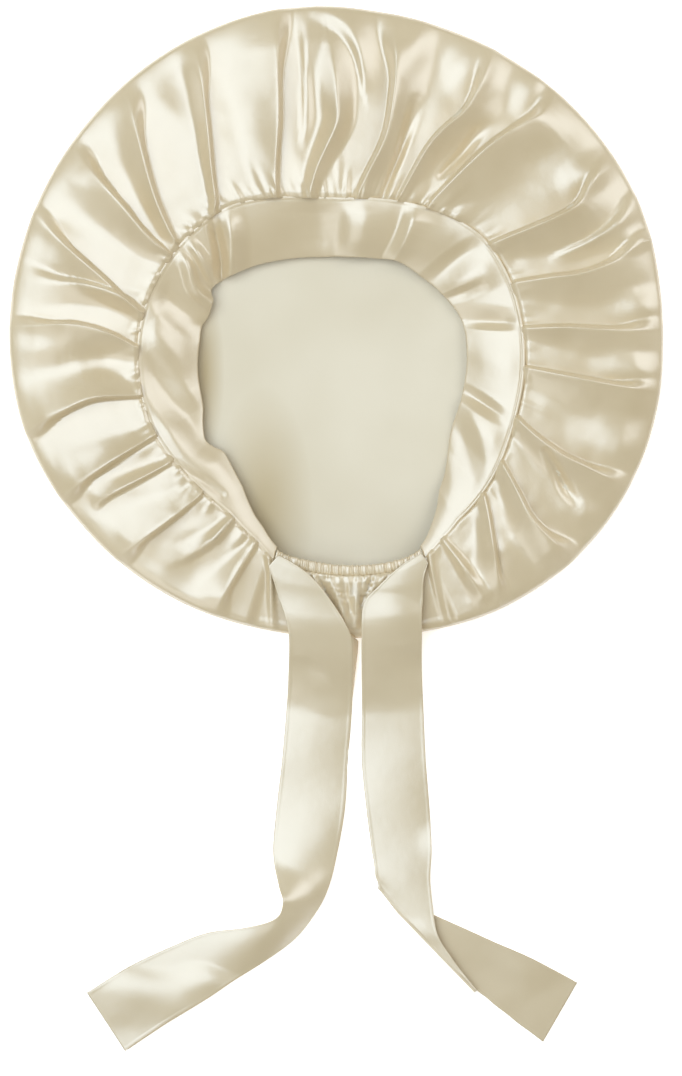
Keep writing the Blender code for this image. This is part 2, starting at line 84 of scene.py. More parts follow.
# A fold's flanks: the soft foot as a share of the width, the sag of a gentle one, how many times
# wider than a steep one it is, and the widths and crests within which the fold is felt
FOOT = 0.2
SAG = 1.35
STEEP_RATIO = 1.7
FELT_WIDTHS = 1.5
FELT_CRESTS = 4.0

# The seam and the band's free edge round the opening, as shares of the crown's radius
Opening = namedtuple("Opening", "bearing seam mouth")
OPENING = [Opening(*row) for row in (
    (0, 0.569, 0.387), (15, 0.545, 0.333), (30, 0.518, 0.287),
    (45, 0.468, 0.26), (60, 0.424, 0.228), (75, 0.394, 0.209),
    (90, 0.381, 0.204), (105, 0.397, 0.209), (120, 0.44, 0.23),
    (135, 0.492, 0.266), (150, 0.53, 0.322), (165, 0.567, 0.376),
    (180, 0.606, 0.41), (195, 0.636, 0.448), (210, 0.66, 0.49),
    (225, 0.666, 0.543), (240, 0.682, 0.602), (250, 0.727, 0.675),
    (256, 0.768, 0.728), (263, 0.778, 0.738), (272, 0.786, 0.749),
    (284, 0.791, 0.755), (290, 0.778, 0.742), (295, 0.75, 0.69),
    (301, 0.72, 0.61), (315, 0.68, 0.495), (330, 0.63, 0.448),
    (345, 0.597, 0.416),
)]
# The outline of the rim, as shares of the crown's radius
Rim = namedtuple("Rim", "bearing reach")
RIM = [Rim(*row) for row in (
    (0, 1.003), (20, 1), (40, 0.985), (60, 0.968), (80, 0.965),
    (100, 0.98), (120, 0.985), (140, 0.987), (160, 0.997), (180, 1.012),
    (200, 1.022), (220, 1.007), (240, 0.992), (260, 0.975), (280, 0.984),
    (300, 1.02), (320, 1.037), (340, 1.027),
)]

# Small bends of the band's free edge, in mm outwards
Bend = namedtuple("Bend", "bearing shift")
EDGE_BENDS = [Bend(*row) for row in (
    (0, 0), (40, 1), (60, 0), (90, 0), (130, 0.3), (148, 0.8),
    (155, 1.8), (160, 3.4), (164.6, 4.8), (167, 3.8), (170, 0.6), (174, -0.4),
    (178, -0.4), (182, 1.2), (188, 0.4), (200, 0), (212, -0.8),
    (218, 2), (222, 3.2), (225, 0.6), (229, -3.8), (236, -3.4), (245, -0.8),
    (250, 0), (300, 0), (330, 0),
)]

# A fold: its path as (bearing, share of the way out, height in mm), then the widths in mm of its
# flank on the side of the larger bearing and of its flank on the other side, and the radius of
# its crest where it isn't 0.9.  A negative height is a crease.
Fold = namedtuple("Fold", "path up down crest", defaults=(0.9,))
FOLDS = [Fold(*row) for row in (
    (((12.1, 0.03, 2.2), (11.6, 0.26, 4.2), (11.1, 0.47, 5), (12.1, 0.7, 4.6), (14.4, 0.95, 2.4)), 5, 24),
    (((16.6, 0.36, 0.4), (17.6, 0.6, 2.4), (19.5, 0.85, 3.2), (22.1, 1, 2.2)), 4, 9),
    (((26.6, 0, 2.4), (25.6, 0.32, 5.2), (25.7, 0.61, 5), (28.7, 0.82, 2.6), (29.5, 1, 0.6)), 5.5, 26),
    (((51.7, 0.04, 2.6), (50.4, 0.28, 4.8), (49.2, 0.49, 5.8), (47.5, 0.67, 5.4), (45.4, 0.84, 4.2),
      (45.7, 1, 2)), 5.5, 38),
    (((54.5, 0.22, -0.8), (53.5, 0.38, -2.4), (53.3, 0.58, -0.3)), 4, 5, 0.8),
    (((63.3, 0.03, 2.6), (63, 0.17, 3.8), (62.5, 0.34, 5.4), (60.9, 0.48, 5.4), (59, 0.6, 5),
      (58.7, 0.77, 4.4), (59.6, 1, 2)), 5.5, 17, 0.8),
    (((70.2, 0.02, -1.6), (69.8, 0.27, -2.8), (70.4, 0.58, -0.3)), 4, 5, 0.7),
    (((80.6, 0, 2.2), (79.5, 0.07, 3.2), (75.4, 0.32, 5.4), (76.2, 0.61, 5.8), (78, 0.87, 4),
      (78.4, 1, 2)), 7, 19, 1.6),
    (((83.1, 0.56, 0.4), (85.5, 0.79, 2.6), (88.5, 0.93, 2.8), (93.3, 1, 1.6)), 5, 12),
    (((102.5, 0, 2.6), (98.7, 0.12, 3.8), (90.7, 0.36, 4.8), (90.1, 0.53, 4.2),
      (91.6, 0.8, 1.6)), 12, 11),
    (((101, 0.28, 0.2), (98.8, 0.45, 1.4), (96.3, 0.85, 1.4), (96, 1, 0.8)), 4, 7, 1),
    (((116.1, 0, 2.6), (112.1, 0.16, 4.6), (106.6, 0.41, 6.2), (103.5, 0.68, 6),
      (101.2, 1, 3.4)), 32, 5.5, 1),
    (((139.1, 0, 2.4), (134.3, 0.1, 3.6), (125.4, 0.43, 4.6), (120, 0.72, 4.2), (118.1, 0.89, 2.8),
      (117.5, 1, 0.8)), 9, 5, 0.8),
    (((153.8, 0.04, 2.4), (147, 0.3, 3.8), (139.2, 0.61, 4.8), (134.3, 0.86, 3), (133, 1, 0.8)), 14, 7),
    (((158.3, 0.02, 2), (156, 0.21, 4.6), (151.9, 0.48, 5.6), (148.6, 0.79, 4.4),
      (147, 1, 1.6)), 22, 5, 1.2),
    (((177.5, 0.02, 2), (169.9, 0.36, 4.6), (164.5, 0.71, 5), (160.9, 1, 2.6)), 17, 5),
    (((177.501, 0, 1), (173.8, 0.19, 2.8), (171.9, 0.5, 3), (172.3, 0.95, 1.2)), 13, 6, 1.8),
    (((187.6, 0, 2.4), (183, 0.24, 5), (180.7, 0.55, 5.4), (181.3, 1, 2.6)), 24, 5),
    (((200.7, 0, 2.4), (197.6, 0.37, 5), (198.2, 0.7, 5.4), (198.9, 1, 3)), 5, 24),
    (((212, 0, 2.4), (211.9, 0.46, 4.8), (212.2, 1, 2.8)), 5, 20),
    (((220.2, 0.04, 1.8), (217.8, 0.53, 2.8), (216.8, 0.84, 0)), 4.5, 10),
    (((231.7, 0.04, 2.4), (229.2, 0.52, 4.8), (226.8, 1, 2.8)), 5.5, 22),
    (((242, 0, 2.2), (240.5, 0.3, 3.4), (237, 0.66, 0.6)), 5, 11, 0.8),
    (((250, 0, 2.4), (248.5, 0.4, 3.6), (247, 1, 1.2)), 6, 14),
    (((295.7, 0, 2), (297, 0.4, 3.4), (297.6, 0.8, 1.2)), 5, 6, 0.8),
    (((310, 0.02, 2), (305, 0.4, 4), (300.5, 0.9, 1.2)), 5, 14),
    (((319.2, 0, 2.2), (316.5, 0.25, 4.4), (314.4, 0.53, 5.2), (314.8, 1, 2.2)), 5.5, 18),
    (((328, 0.3, -1), (324.2, 0.56, -2.4), (322.5, 0.76, -0.3)), 3.5, 4, 0.7),
    (((331.5, 0, 2.4), (329.9, 0.19, 4.8), (329.2, 0.43, 5.6), (329.7, 0.66, 5), (329.9, 1, 2.4)), 6, 20),
    (((346, 0, 2.2), (346.5, 0.29, 4.8), (346.8, 0.54, 5.4), (347.3, 1, 2.4)), 5, 28),
    (((357.7, 0, 2.2), (358.4, 0.29, 4.4), (358.2, 0.61, 5), (358.4, 1, 2.4)), 5, 20),
)]

# Soft hollows and swellings: place, widths in mm round and out from the middle, height in mm
Swell = namedtuple("Swell", "bearing out round_mm out_mm height")
SWELLS = [Swell(*row) for row in (
    (147, 0.86, 16, 26, -2.6),
    (164, 0.78, 15, 28, -2.8),
    (182, 0.84, 12, 24, -2.4),
    (189, 0.25, 14, 24, -2.6),
    (206, 0.6, 16, 28, 1.4),
    (124, 0.8, 16, 24, -1.8),
    (240, 0.62, 20, 24, -2.4),
    (74, 0.9, 12, 24, 1.8),
    (62.5, 0.92, 17, 28, 3.6),
    (50.5, 1.02, 16, 28, 4.2),
    (39, 0.6, 20, 34, -2),
    (30.5, 0.84, 14, 24, 3.2),
    (15.5, 0.92, 10, 24, 2.8),
    (2.5, 0.96, 15, 30, 4),
    (350.5, 0.88, 13, 36, 4),
    (336, 0.92, 22, 40, 5),
    (322, 0.86, 12, 30, 2.6),
    (313, 0.96, 14, 30, 3.6),
    (306, 0.55, 10, 22, 1.2),
)]

# Folds of the ring between the ties, below the nape casing, and beside them
NAPE_FOLDS = [Fold(*row) for row in (
    (((262.4, 0.02, 0.8), (263.4, 0.16, 1.1), (265.6, 0.42, 1.2), (268, 0.75, 0.6)), 1.6, 1.4, 0.4),
    (((264.6, 0.02, 0.9), (265.8, 0.2, 1.6), (268, 0.5, 1.8), (270.2, 0.8, 0.8)), 2.4, 1.4, 0.4),
    (((266, 0.03, -0.8), (267, 0.2, -2), (269.2, 0.55, -1.2)), 1.3, 1.3, 0.4),
    (((277.4, 0.03, -0.8), (276.8, 0.2, -2), (275, 0.5, -1.2)), 1.3, 1.3, 0.4),
    (((266.4, 0.02, 1.2), (266.8, 0.12, 1.4), (267.4, 0.26, 0.6)), 1.2, 1.2, 0.4),
    (((268.4, 0.02, 1), (269, 0.14, 1.6), (270.6, 0.4, 2.4), (271.6, 0.7, 2),
      (272, 0.95, 0.8)), 1.6, 3, 0.5),
    (((270.4, 0.02, 1.2), (270.5, 0.12, 1.4), (270.7, 0.24, 0.6)), 1.2, 1.2, 0.4),
    (((272.4, 0.02, 1.2), (272.6, 0.2, 2), (273.2, 0.42, 1.2), (273.6, 0.6, 0.4)), 1.4, 1.4, 0.4),
    (((274.6, 0.02, 1), (274.3, 0.14, 2), (273.9, 0.45, 2.8), (273.4, 0.85, 1)), 1.6, 1.6, 0.4),
    (((276.6, 0.02, 1.2), (276.1, 0.12, 1.6), (275.5, 0.3, 1.2)), 1.3, 1.3, 0.4),
    (((278.6, 0.02, 1.2), (277.8, 0.14, 2), (276, 0.4, 1.8), (274.6, 0.7, 0.8)), 1.8, 1.4, 0.4),
    (((280.6, 0.02, 1.2), (279.6, 0.1, 1.6), (278.4, 0.26, 1)), 1.3, 1.3, 0.4),
    (((282.6, 0.02, 1), (281.4, 0.1, 1.4), (279.8, 0.22, 0.8)), 1.3, 1.3, 0.4),
    (((253.6, 0, 1.2), (255.2, 0.2, 1.6), (256.8, 0.6, 1.2), (258.2, 1, 0.6)), 1.3, 2.6, 0.6),
    (((291.6, 0, 1), (290.8, 0.2, 1.3), (290, 0.6, 0.9), (289.6, 1, 0.3)), 2.6, 1.3, 0.8),
)]

# Dents (negative) and ridges across the band: path as (bearing, share in from the seam, height in
# mm), the widths of the two flanks, and the radius of the crest
BAND_FOLDS = [Fold(*row) for row in (
    (((156.5, 0.08, 1), (159.5, 0.35, 2.8), (165, 0.65, 3.6), (172, 1, 3.2)), 4.6, 3.4),
    (((151.2, 0, 1.2), (155, 0.4, 3.2), (161.5, 0.9, 2.2)), 3.4, 4),
    (((140.5, 0, -2.4), (148, 0.45, -5), (160.5, 1, -4.6)), 3.6, 3.8, 0.8),
    (((134, 0, 1.4), (142, 0.45, 3.4), (156, 1, 2.8)), 4.6, 9, 1.2),
    (((103, 0, -1.4), (101, 0.5, -3.2), (104, 1, -2)), 22, 13, 4),
    (((78, 0, 1.2), (74, 0.5, 2.8), (72, 1, 1.8)), 11, 15, 3),
    (((56, 0, 2), (51, 0.5, 4.4), (47, 1, 3.4)), 6, 27, 1.2),
    (((28, 0, -0.6), (27, 0.5, -1.8), (23, 1, -1.4)), 6, 9, 1.4),
    (((19, 0, 0.8), (18, 0.5, 1.8), (16, 1, 1)), 12, 8, 3),
    (((14, 0.45, -0.6), (13, 0.7, -2), (12, 1, -1.6)), 3, 4, 0.8),
    (((359.5, 0, -1.2), (360, 0.5, -2.8), (360.5, 0.9, -1.4)), 8, 4, 1.2),
    (((345, 0.05, 0.6), (345, 0.5, 1.4), (346, 1, 0.8)), 14, 14, 4),
    (((330, 0.25, -0.6), (330.5, 0.6, -2.4), (331, 1, -1.6)), 4, 5),
    (((321, 0.05, 0.8), (323, 0.5, 1.6), (326, 1, 1)), 9, 8, 3),
    (((308, 0.2, -0.8), (314, 0.6, -1.8), (320, 1, -1.2)), 7, 9, 3),
    (((168, 0.1, -1.2), (174, 0.45, -2.8), (181, 1, -1.6)), 9, 8, 2.4),
    (((181, 0.1, 0.8), (186, 0.4, 2), (196, 0.8, 1.6), (204, 1, 0.6)), 9, 11, 3),
    (((190, 0.05, -0.8), (199, 0.35, -2), (212, 0.65, -2), (224, 1, -1)), 9, 8, 2.6),
    (((207, 0.05, 0.6), (215, 0.3, 1.4), (226, 0.55, 1.5), (238, 0.9, 0.9)), 9, 10, 3),
    (((222, 0.02, -1.2), (228, 0.16, -1.8), (236, 0.3, -1)), 3, 3, 0.8),
)]


def clamp(value):
    return np.clip(value, 0.0, 1.0)


def ease(value):
    value = clamp(value)
    return value * value * (3.0 - 2.0 * value)


def spline(before, start, end, after, share):
    pull = (after - 3.0 * end + 3.0 * start - before) * share
    pull = (pull + 2.0 * before - 5.0 * start + 4.0 * end - after) * share
    return start + 0.5 * (pull + end - before) * share


def round_table(rows, field, bearing):
    """Smooth values of one column of a table whose rows go once round the axis."""
    bearing = np.asarray(bearing, float) % 360.0
    places = np.array([row.bearing for row in rows], float)
    values = np.array([getattr(row, field) for row in rows], float)
    count = len(rows)
    place = (np.searchsorted(places, bearing, side="right") - 1) % count
    gap = (places[(place + 1) % count] - places[place]) % 360.0
    share = ((bearing - places[place]) % 360.0) / gap
    picked = [values[(place + step) % count] for step in (-1, 0, 1, 2)]
    return spline(*picked, share)


def between(first, second):
    """The turn from the second bearing to the first, in degrees."""
    return (first - second + 180.0) % 360.0 - 180.0


def seam_radius(bearing):
    return CROWN_RADIUS * round_table(OPENING, "seam", bearing)


def mouth_radius(bearing):
    bend = MM * round_table(EDGE_BENDS, "shift", bearing)
    return CROWN_RADIUS * round_table(OPENING, "mouth", bearing) + bend


def rim_radius(bearing):
    return CROWN_RADIUS * round_table(RIM, "reach", bearing)


def nape_share(bearing, blend, margin=0.0):
    """1 between the two pinches, falling to 0 over the blend on either side."""
    middle = 0.5 * (NAPE_LEFT + NAPE_RIGHT)
    half = 0.5 * (NAPE_RIGHT - NAPE_LEFT) + margin
    return 1.0 - ease((np.abs(between(bearing, middle)) - half) / blend)


def welt_share(bearing):
    """How far the roll of the seam shows."""
    return 1.0 - ease((np.abs(between(bearing, WELT_MIDDLE)) - WELT_HALF) / WELT_BLEND)


def seam_lift(bearing):
    return SEAM_HEIGHT + (NAPE_HEIGHT - SEAM_HEIGHT) * nape_share(bearing, NAPE_BLEND)


def ring_lift(bearing, out):
    sag = clamp(1.0 - out) ** SAG_POWER
    rise = np.sin(math.pi * clamp(out)) ** PUFF_POWER
    puff = PUFF * rise * (1.0 - nape_share(bearing, PUFF_BLEND))
    drop = EDGE_DROP * clamp((out - EDGE_FROM) / (1.0 - EDGE_FROM)) ** EDGE_POWER
    return RIM_HEIGHT + (seam_lift(bearing) - RIM_HEIGHT) * sag + puff - drop


def ring_radius(bearing, out):
    inner = seam_radius(bearing)
    return inner + (rim_radius(bearing) - RIM_TURN - inner) * out


def band_radius(bearing, inward):
    outer = seam_radius(bearing)
    return outer + (mouth_radius(bearing) - outer) * inward


def flat_point(bearing, radius):
    turn = np.radians(bearing)
    return np.stack([radius * np.cos(turn), radius * np.sin(turn)], axis=-1)


def lifted(flat, height):
    """Points of the plan at a height, or each at its own."""
    height = np.broadcast_to(height, flat.shape[:-1])
    return np.concatenate([flat, height[..., None]], axis=-1)


class Noise:
    """Smooth seeded noise over the plane, about -1 to 1."""

    def __init__(self, seed, size=256):
        rng = np.random.default_rng(seed)
        self.grid = rng.uniform(-1.0, 1.0, (size, size))
        self.size = size

    def __call__(self, x, y):
        column, row = np.floor(x).astype(int), np.floor(y).astype(int)
        share_x, share_y = ease(x - column), ease(y - row)
        total = 0.0
        for step_x, weight_x in ((0, 1.0 - share_x), (1, share_x)):
            for step_y, weight_y in ((0, 1.0 - share_y), (1, share_y)):
                corner = self.grid[(row + step_y) % self.size, (column + step_x) % self.size]
                total = total + corner * weight_x * weight_y
        return total


def smooth_path(points, steps=5):
    """Points on a smooth curve through the given ones."""
    points = np.asarray(points, float)
    smooth = []
    for number in range(len(points) - 1):
        before, after = points[max(number - 1, 0)], points[min(number + 2, len(points) - 1)]
        for step in range(steps):
            smooth.append(spline(before, points[number], points[number + 1], after, step / steps))
    smooth.append(points[-1])
    return np.array(smooth)


def gentle_width(out):
    """Gentle flanks are narrow at the seam and full towards the rim."""
    return 0.35 + 0.90 * out


def steep_width(out):
    """Steep flanks stay narrow until the ring's outer third."""
    return 0.26 + 0.80 * ease((out - 0.62) / 0.38)


def crest_width(out):
    """Crests grow rounder outwards, most of all near the rim."""
    return 0.5 + 0.9 * out + 2.0 * ease((out - 0.7) / 0.3)


def fold_height(fold, to_radius, spots, gain, grows=False):
    """Height that one fold adds at the spots of the plan; it may grow wider along its path."""
    path = smooth_path(fold.path)
    line = flat_point(path[:, 0], to_radius(path[:, 0], path[:, 1]))
    lift = path[:, 2] * MM * gain
    reach = (max(fold.up, fold.down) * FELT_WIDTHS + FELT_CRESTS * fold.crest) * MM
    low, high = line.min(axis=0) - reach, line.max(axis=0) + reach
    near = np.all((spots > low) & (spots < high), axis=-1)
    picked = spots[near]
    best = np.full(len(picked), np.inf)
    side = np.zeros(len(picked))
    height = np.zeros(len(picked))
    grown = np.zeros(len(picked))
    for number in range(len(line) - 1):
        start, way = line[number], line[number + 1] - line[number]
        length = np.hypot(*way)
        share = clamp(((picked - start) @ way) / length ** 2)
        offset = picked - start - share[:, None] * way
        distance = np.hypot(offset[:, 0], offset[:, 1])
        closer = distance < best
        best = np.where(closer, distance, best)
        cross = way[0] * offset[:, 1] - way[1] * offset[:, 0]
        side = np.where(closer, cross, side)
        here = lift[number] + (lift[number + 1] - lift[number]) * share
        height = np.where(closer, here, height)
        place = path[number, 1] + (path[number + 1, 1] - path[number, 1]) * share
        grown = np.where(closer, place, grown)
    outward = np.dot(line[-1], line[-1]) > np.dot(line[0], line[0])
    larger = side > 0 if outward else side < 0
    up, down = fold.up * MM, fold.down * MM
    sharp_up = fold.up * STEEP_RATIO < fold.down
    sharp_down = fold.down * STEEP_RATIO < fold.up
    crest = fold.crest * MM
    if grows:
        up = up * (steep_width(grown) if sharp_up else gentle_width(grown))
        down = down * (steep_width(grown) if sharp_down else gentle_width(grown))
        crest = crest * crest_width(grown)
    width = np.where(larger, up, down)
    nearness = 1.0 - (np.sqrt(best ** 2 + crest ** 2) - crest) / width
    foot = np.where(nearness > FOOT, nearness, (nearness + FOOT) ** 2 / (4.0 * FOOT))
    gentle = np.where(larger, sharp_down, sharp_up)
    foot = np.where(gentle, np.maximum(foot, 0.0) ** SAG, foot)
    total = np.zeros(len(spots))
    total[near] = height * np.where(nearness < -FOOT, 0.0, foot)
    return total


def swell_height(swell, spots):
    """Height of one soft hollow or swelling at the spots."""
    middle = flat_point(swell.bearing, ring_radius(swell.bearing, swell.out))
    turn = math.radians(swell.bearing)
    outward = np.array([math.cos(turn), math.sin(turn)])
    offset = spots - middle
    along = (offset @ outward) / (swell.out_mm * MM)
    across = (offset @ np.array([-outward[1], outward[0]])) / (swell.round_mm * MM)
    return swell.height * MM * ease(1.0 - np.hypot(along, across))


def make_mesh(name, points, faces):
    mesh = bpy.data.meshes.new(name)
    mesh.from_pydata([tuple(point) for point in points], [], faces)
    mesh.validate()
    mesh.shade_smooth()
    thing = bpy.data.objects.new(name, mesh)
    bpy.context.scene.collection.objects.link(thing)
    return thing


def grid_faces(rows, columns, closed, flip=False):
    """Quads of a grid of rows; closed joins its last column to the first."""
    across = np.arange(columns if closed else columns - 1)
    row, column = np.meshgrid(np.arange(rows - 1), across, indexing="ij")
    after = (column + 1) % columns
    quads = np.stack([
        row * columns + column, row * columns + after,
        (row + 1) * columns + after, (row + 1) * columns + column,
    ], axis=-1).reshape(-1, 4)
    return (quads[:, ::-1] if flip else quads).tolist()


def strip_faces(rows, columns):
    """Faces of a closed strip: its rows go once round its section, and both its ends are capped."""
    faces = grid_faces(rows, columns, False)
    last = (rows - 1) * columns
    for column in range(columns - 1):
        faces.append([last + column, last + column + 1, column + 1, column])
    for column in (0, columns - 1):
        ring = [row * columns + column for row in range(rows)]
        faces.append(ring if column == 0 else ring[::-1])
    return faces


# Looks
# A satin: its light and dark tones, roughness, specular level and the strength of its weave
Satin = namedtuple("Satin", "light dark roughness specular weave")
SATIN = Satin((0.745, 0.608, 0.39), (0.67, 0.533, 0.32), 0.31, 1.0, 0.08)
# The ties' matt reverse; its darker tone is also painted shade for the turned-under fold and the edge
# turned down between the ties
TIE_REVERSE_AND_SHADE = Satin((0.66, 0.545, 0.36), (0.60, 0.485, 0.305), 0.48, 0.3, 0.12)
TIE_SATIN = Satin((0.74, 0.615, 0.405), (0.67, 0.545, 0.34), 0.31, 1.0, 0.08)
SATIN_IOR = 1.95
SATIN_SHEEN = 0.12
SHEEN_ROUGHNESS = 0.45
SMOOTHER = 0.04
ROUGHER = 0.05
TONE_SCALE = 22.0
TONE_SPAN = (0.25, 0.6)

# The matt reverse of the crown's cloth
REVERSE = Satin((0.86, 0.782, 0.625), (0.80, 0.718, 0.555), 0.7, 0.25, 0.12)
REVERSE_SHEEN = 0.15
REVERSE_SCALE = 14.0
REVERSE_SPAN = (0.35, 0.65)

# Weave and crinkle: scale of the pattern, and strength and depth in metres of the bump
WEAVE_SCALE = 2600.0
WEAVE_STRETCH = (1.0, 0.22, 1.0)
WEAVE_DEPTH = 0.0002
CRINKLE_SCALE = 85.0
CRINKLE_STRENGTH = 0.15
CRINKLE_DEPTH = 0.0012

# Painted shade on the panel inside the bag: a shallow fold's shade at the lower left and the band's
# shadow along the opening's left edge; middle, reach and the colour that they multiply by
ShadePatch = namedtuple("ShadePatch", "middle reach tone")
SHADE_PATCHES = (
    ShadePatch((-0.041, -0.104, 0.0), (0.028, 0.070, 0.05), (0.70, 0.62, 0.46)),
    ShadePatch((-0.073, -0.028, 0.0), (0.011, 0.046, 0.05), (0.66, 0.57, 0.40)),
)


def set_inputs(node, **inputs):
    """Set a node's inputs by name, with an underscore for a space."""
    for name, value in inputs.items():
        node.inputs[name.replace("_", " ")].default_value = value
    return node


def add_node(tree, kind, **inputs):
    return set_inputs(tree.nodes.new("ShaderNode" + kind), **inputs)


def link(tree, source, output, target, socket):
    tree.links.new(source.outputs[output], target.inputs[socket])


def new_material(name):
    """A new material, its tree and its shader."""
    material = bpy.data.materials.new(name)
    material.use_nodes = True
    tree = material.node_tree
    return material, tree, tree.nodes["Principled BSDF"]


def weave_bump(tree, shader, strength):
    """Fine satin weave with a soft crinkle, as bump."""
    place = add_node(tree, "TexCoord")
    weave = add_node(tree, "TexNoise", Scale=WEAVE_SCALE, Detail=1.0)
    stretch = add_node(tree, "Mapping", Scale=WEAVE_STRETCH)
    crinkle = add_node(tree, "TexNoise", Scale=CRINKLE_SCALE, Detail=2.0)
    link(tree, place, "Object", stretch, "Vector")
    link(tree, stretch, "Vector", weave, "Vector")
    link(tree, place, "Object", crinkle, "Vector")
    fine = add_node(tree, "Bump", Strength=strength, Distance=WEAVE_DEPTH)
    soft = add_node(tree, "Bump", Strength=CRINKLE_STRENGTH, Distance=CRINKLE_DEPTH)
    link(tree, weave, "Fac", fine, "Height")
    link(tree, crinkle, "Fac", soft, "Height")
    link(tree, soft, "Normal", fine, "Normal")
    link(tree, fine, "Normal", shader, "Normal")
    return place


def ramp_between(tree, factor, first, second, span):
    """Colours from the first to the second over a span of the factor."""
    ramp = add_node(tree, "ValToRGB")
    for stop, place, colour in zip(ramp.color_ramp.elements, span, (first, second)):
        stop.position = place
        stop.color = (*colour, 1.0)
    tree.links.new(factor, ramp.inputs["Fac"])
    return ramp.outputs["Color"]


def satin(name, look):
    """Glossy satin with soft tones, smoother and rougher by places."""
    material, tree, shader = new_material(name)
    set_inputs(shader, Specular_IOR_Level=look.specular, IOR=SATIN_IOR)
    set_inputs(shader, Sheen_Weight=SATIN_SHEEN, Sheen_Roughness=SHEEN_ROUGHNESS)
    place = weave_bump(tree, shader, look.weave)
    tone = add_node(tree, "TexNoise", Scale=TONE_SCALE, Detail=3.0)
    link(tree, place, "Object", tone, "Vector")
    colour = ramp_between(tree, tone.outputs["Fac"], look.dark, look.light, TONE_SPAN)
    tree.links.new(colour, shader.inputs["Base Color"])
    shine = add_node(tree, "MapRange")
    set_inputs(shine, To_Min=look.roughness - SMOOTHER, To_Max=look.roughness + ROUGHER)
    link(tree, tone, "Fac", shine, "Value")
    link(tree, shine, "Result", shader, "Roughness")
    return material


def reverse(name, look):
    """The cloth's matt reverse, with patches of painted shade on the panel."""
    material, tree, shader = new_material(name)
    set_inputs(shader, Specular_IOR_Level=look.specular, Roughness=look.roughness)
    set_inputs(shader, Sheen_Weight=REVERSE_SHEEN)
    place = weave_bump(tree, shader, look.weave)
    tone = add_node(tree, "TexNoise", Scale=REVERSE_SCALE)
    link(tree, place, "Object", tone, "Vector")
    result = ramp_between(tree, tone.outputs["Fac"], look.dark, look.light, REVERSE_SPAN)
    # Each patch multiplies the panel's colour darker where shade falls: painted shade
    for shade_patch in SHADE_PATCHES:
        around = add_node(tree, "Mapping")
        around.vector_type = "TEXTURE"
        set_inputs(around, Location=shade_patch.middle, Scale=shade_patch.reach)
        fade = add_node(tree, "TexGradient")
        fade.gradient_type = "SPHERICAL"
        link(tree, place, "Object", around, "Vector")
        link(tree, around, "Vector", fade, "Vector")
        shaded = add_node(tree, "Mix")
        shaded.data_type = "RGBA"
        shaded.blend_type = "MULTIPLY"
        set_inputs(shaded, B=(*shade_patch.tone, 1.0))
        link(tree, fade, "Fac", shaded, "Factor")
        tree.links.new(result, shaded.inputs["A"])
        result = shaded.outputs["Result"]
    tree.links.new(result, shader.inputs["Base Color"])
    return material


# Crown
COLUMNS = 840
RING_ROWS = 74
ROW_POWER = 1.12
CLOSE_TO_FOLDS = 0.55
# A fold from LONG_START or before to LONG_END or past it has a column of the mesh along it, but not
# the short twin of a longer fold, known by its first bearing
LONG_START = 0.1
LONG_END = 0.78
SHORT_TWIN = 177.501

# The fine gathers at the seam, drawn between two values: length as a share of the ring's width,
# height in mm, half width, drift and spacing in degrees.  Some are longer, others lower.
GATHER_LENGTH = (0.05, 0.20)
GATHER_HEIGHT = (0.1, 1.7)
GATHER_WIDTH = (1.0, 2.4)
GATHER_DRIFT = (-6.0, 4.0)
GATHER_STEP = (1.3, 2.7)
LONG_GATHER = 2.0
LONG_FROM = 0.8
FULL_GATHERS = (40.0, 250.0)
LOW_GATHER = 0.45

# The nape: the tight gathers on the elastic, and the ring's step and slope below them
PUCKERS = 24
PUCKER = 0.0007
PUCKER_BELOW = 1.1
PUCKER_END = 0.17
NAPE_STEP = 0.0006
NAPE_STEP_END = 0.12
NAPE_SLOPE = 0.0030
NAPE_SLOPE_END = 0.85
NAPE_EDGE = 2.0

# Waves that no table holds, and the shares of relief left at the rim and taken by the ties
FINE_WAVE = 0.22 * MM
BROAD_WAVE = 0.8 * MM
RIM_RELIEF = 0.60
RIM_FADE = 0.20
PRESSED = 0.85
PRESSED_BLEND = 5.0
PRESSED_MARGIN = 3.0

# The tuck beside the seam: its width as a share of the ring's, and how far in and down it goes
TUCK_WIDTH = 0.02
TUCK_IN = 0.0012
TUCK_DOWN = 0.0013
TUCK_AT_WELT = 0.0009

# Loops of the rolled rim, the back panel and the inside, by angle or share of the radius
ROLL_ANGLES = (62, 50, 38, 26, 14, 2, -12, -28, -48, -70)
ROLL_RELIEF = 0.25
PANEL_SHARES = (1.0, 0.6, 0.2, 0.02)
PANEL_LIFT = 0.0001
INSIDE_SHARES = (0.02, 0.07, 0.13, 0.2, 0.27, 0.34, 0.41, 0.48, 0.55, 0.62, 0.7, 0.78, 0.87, 0.96)
INSIDE_ANGLES = (-60, -20, 20, 60)
INSIDE_STEP = 8
RIM_WALL = 0.0012
RING_WALL = 0.0013
# The panel's inside: its height at the rim, its rise in the middle, its least height and its waves
INSIDE_LIFT = 0.0030
INSIDE_RISE = 0.0050
INSIDE_LEAST = 0.0008
LONG_WAVE = 1.6
SHORT_WAVE = 0.6

fine_noise = Noise(3)
broad_noise = Noise(8)


def gathers(bearing, out):
    """Fine puckers at the seam: many small ridges of different lengths."""
    rng = np.random.default_rng(21)
    total = np.zeros(np.broadcast(bearing, out).shape)
    first, last = FULL_GATHERS
    place = 0.0
    while place < 360.0:
        length = rng.uniform(*GATHER_LENGTH) * (LONG_GATHER if rng.uniform() > LONG_FROM else 1.0)
        height = rng.uniform(*GATHER_HEIGHT) * MM * (1.0 if first < place < last else LOW_GATHER)
        width = rng.uniform(*GATHER_WIDTH)
        drift = rng.uniform(*GATHER_DRIFT)
        near = clamp(1.0 - np.abs(between(bearing, place + drift * out)) / width)
        total += height * near ** 2 * (3 - 2 * near) * (1.0 - ease(out / length))
        place += rng.uniform(*GATHER_STEP)
    return total


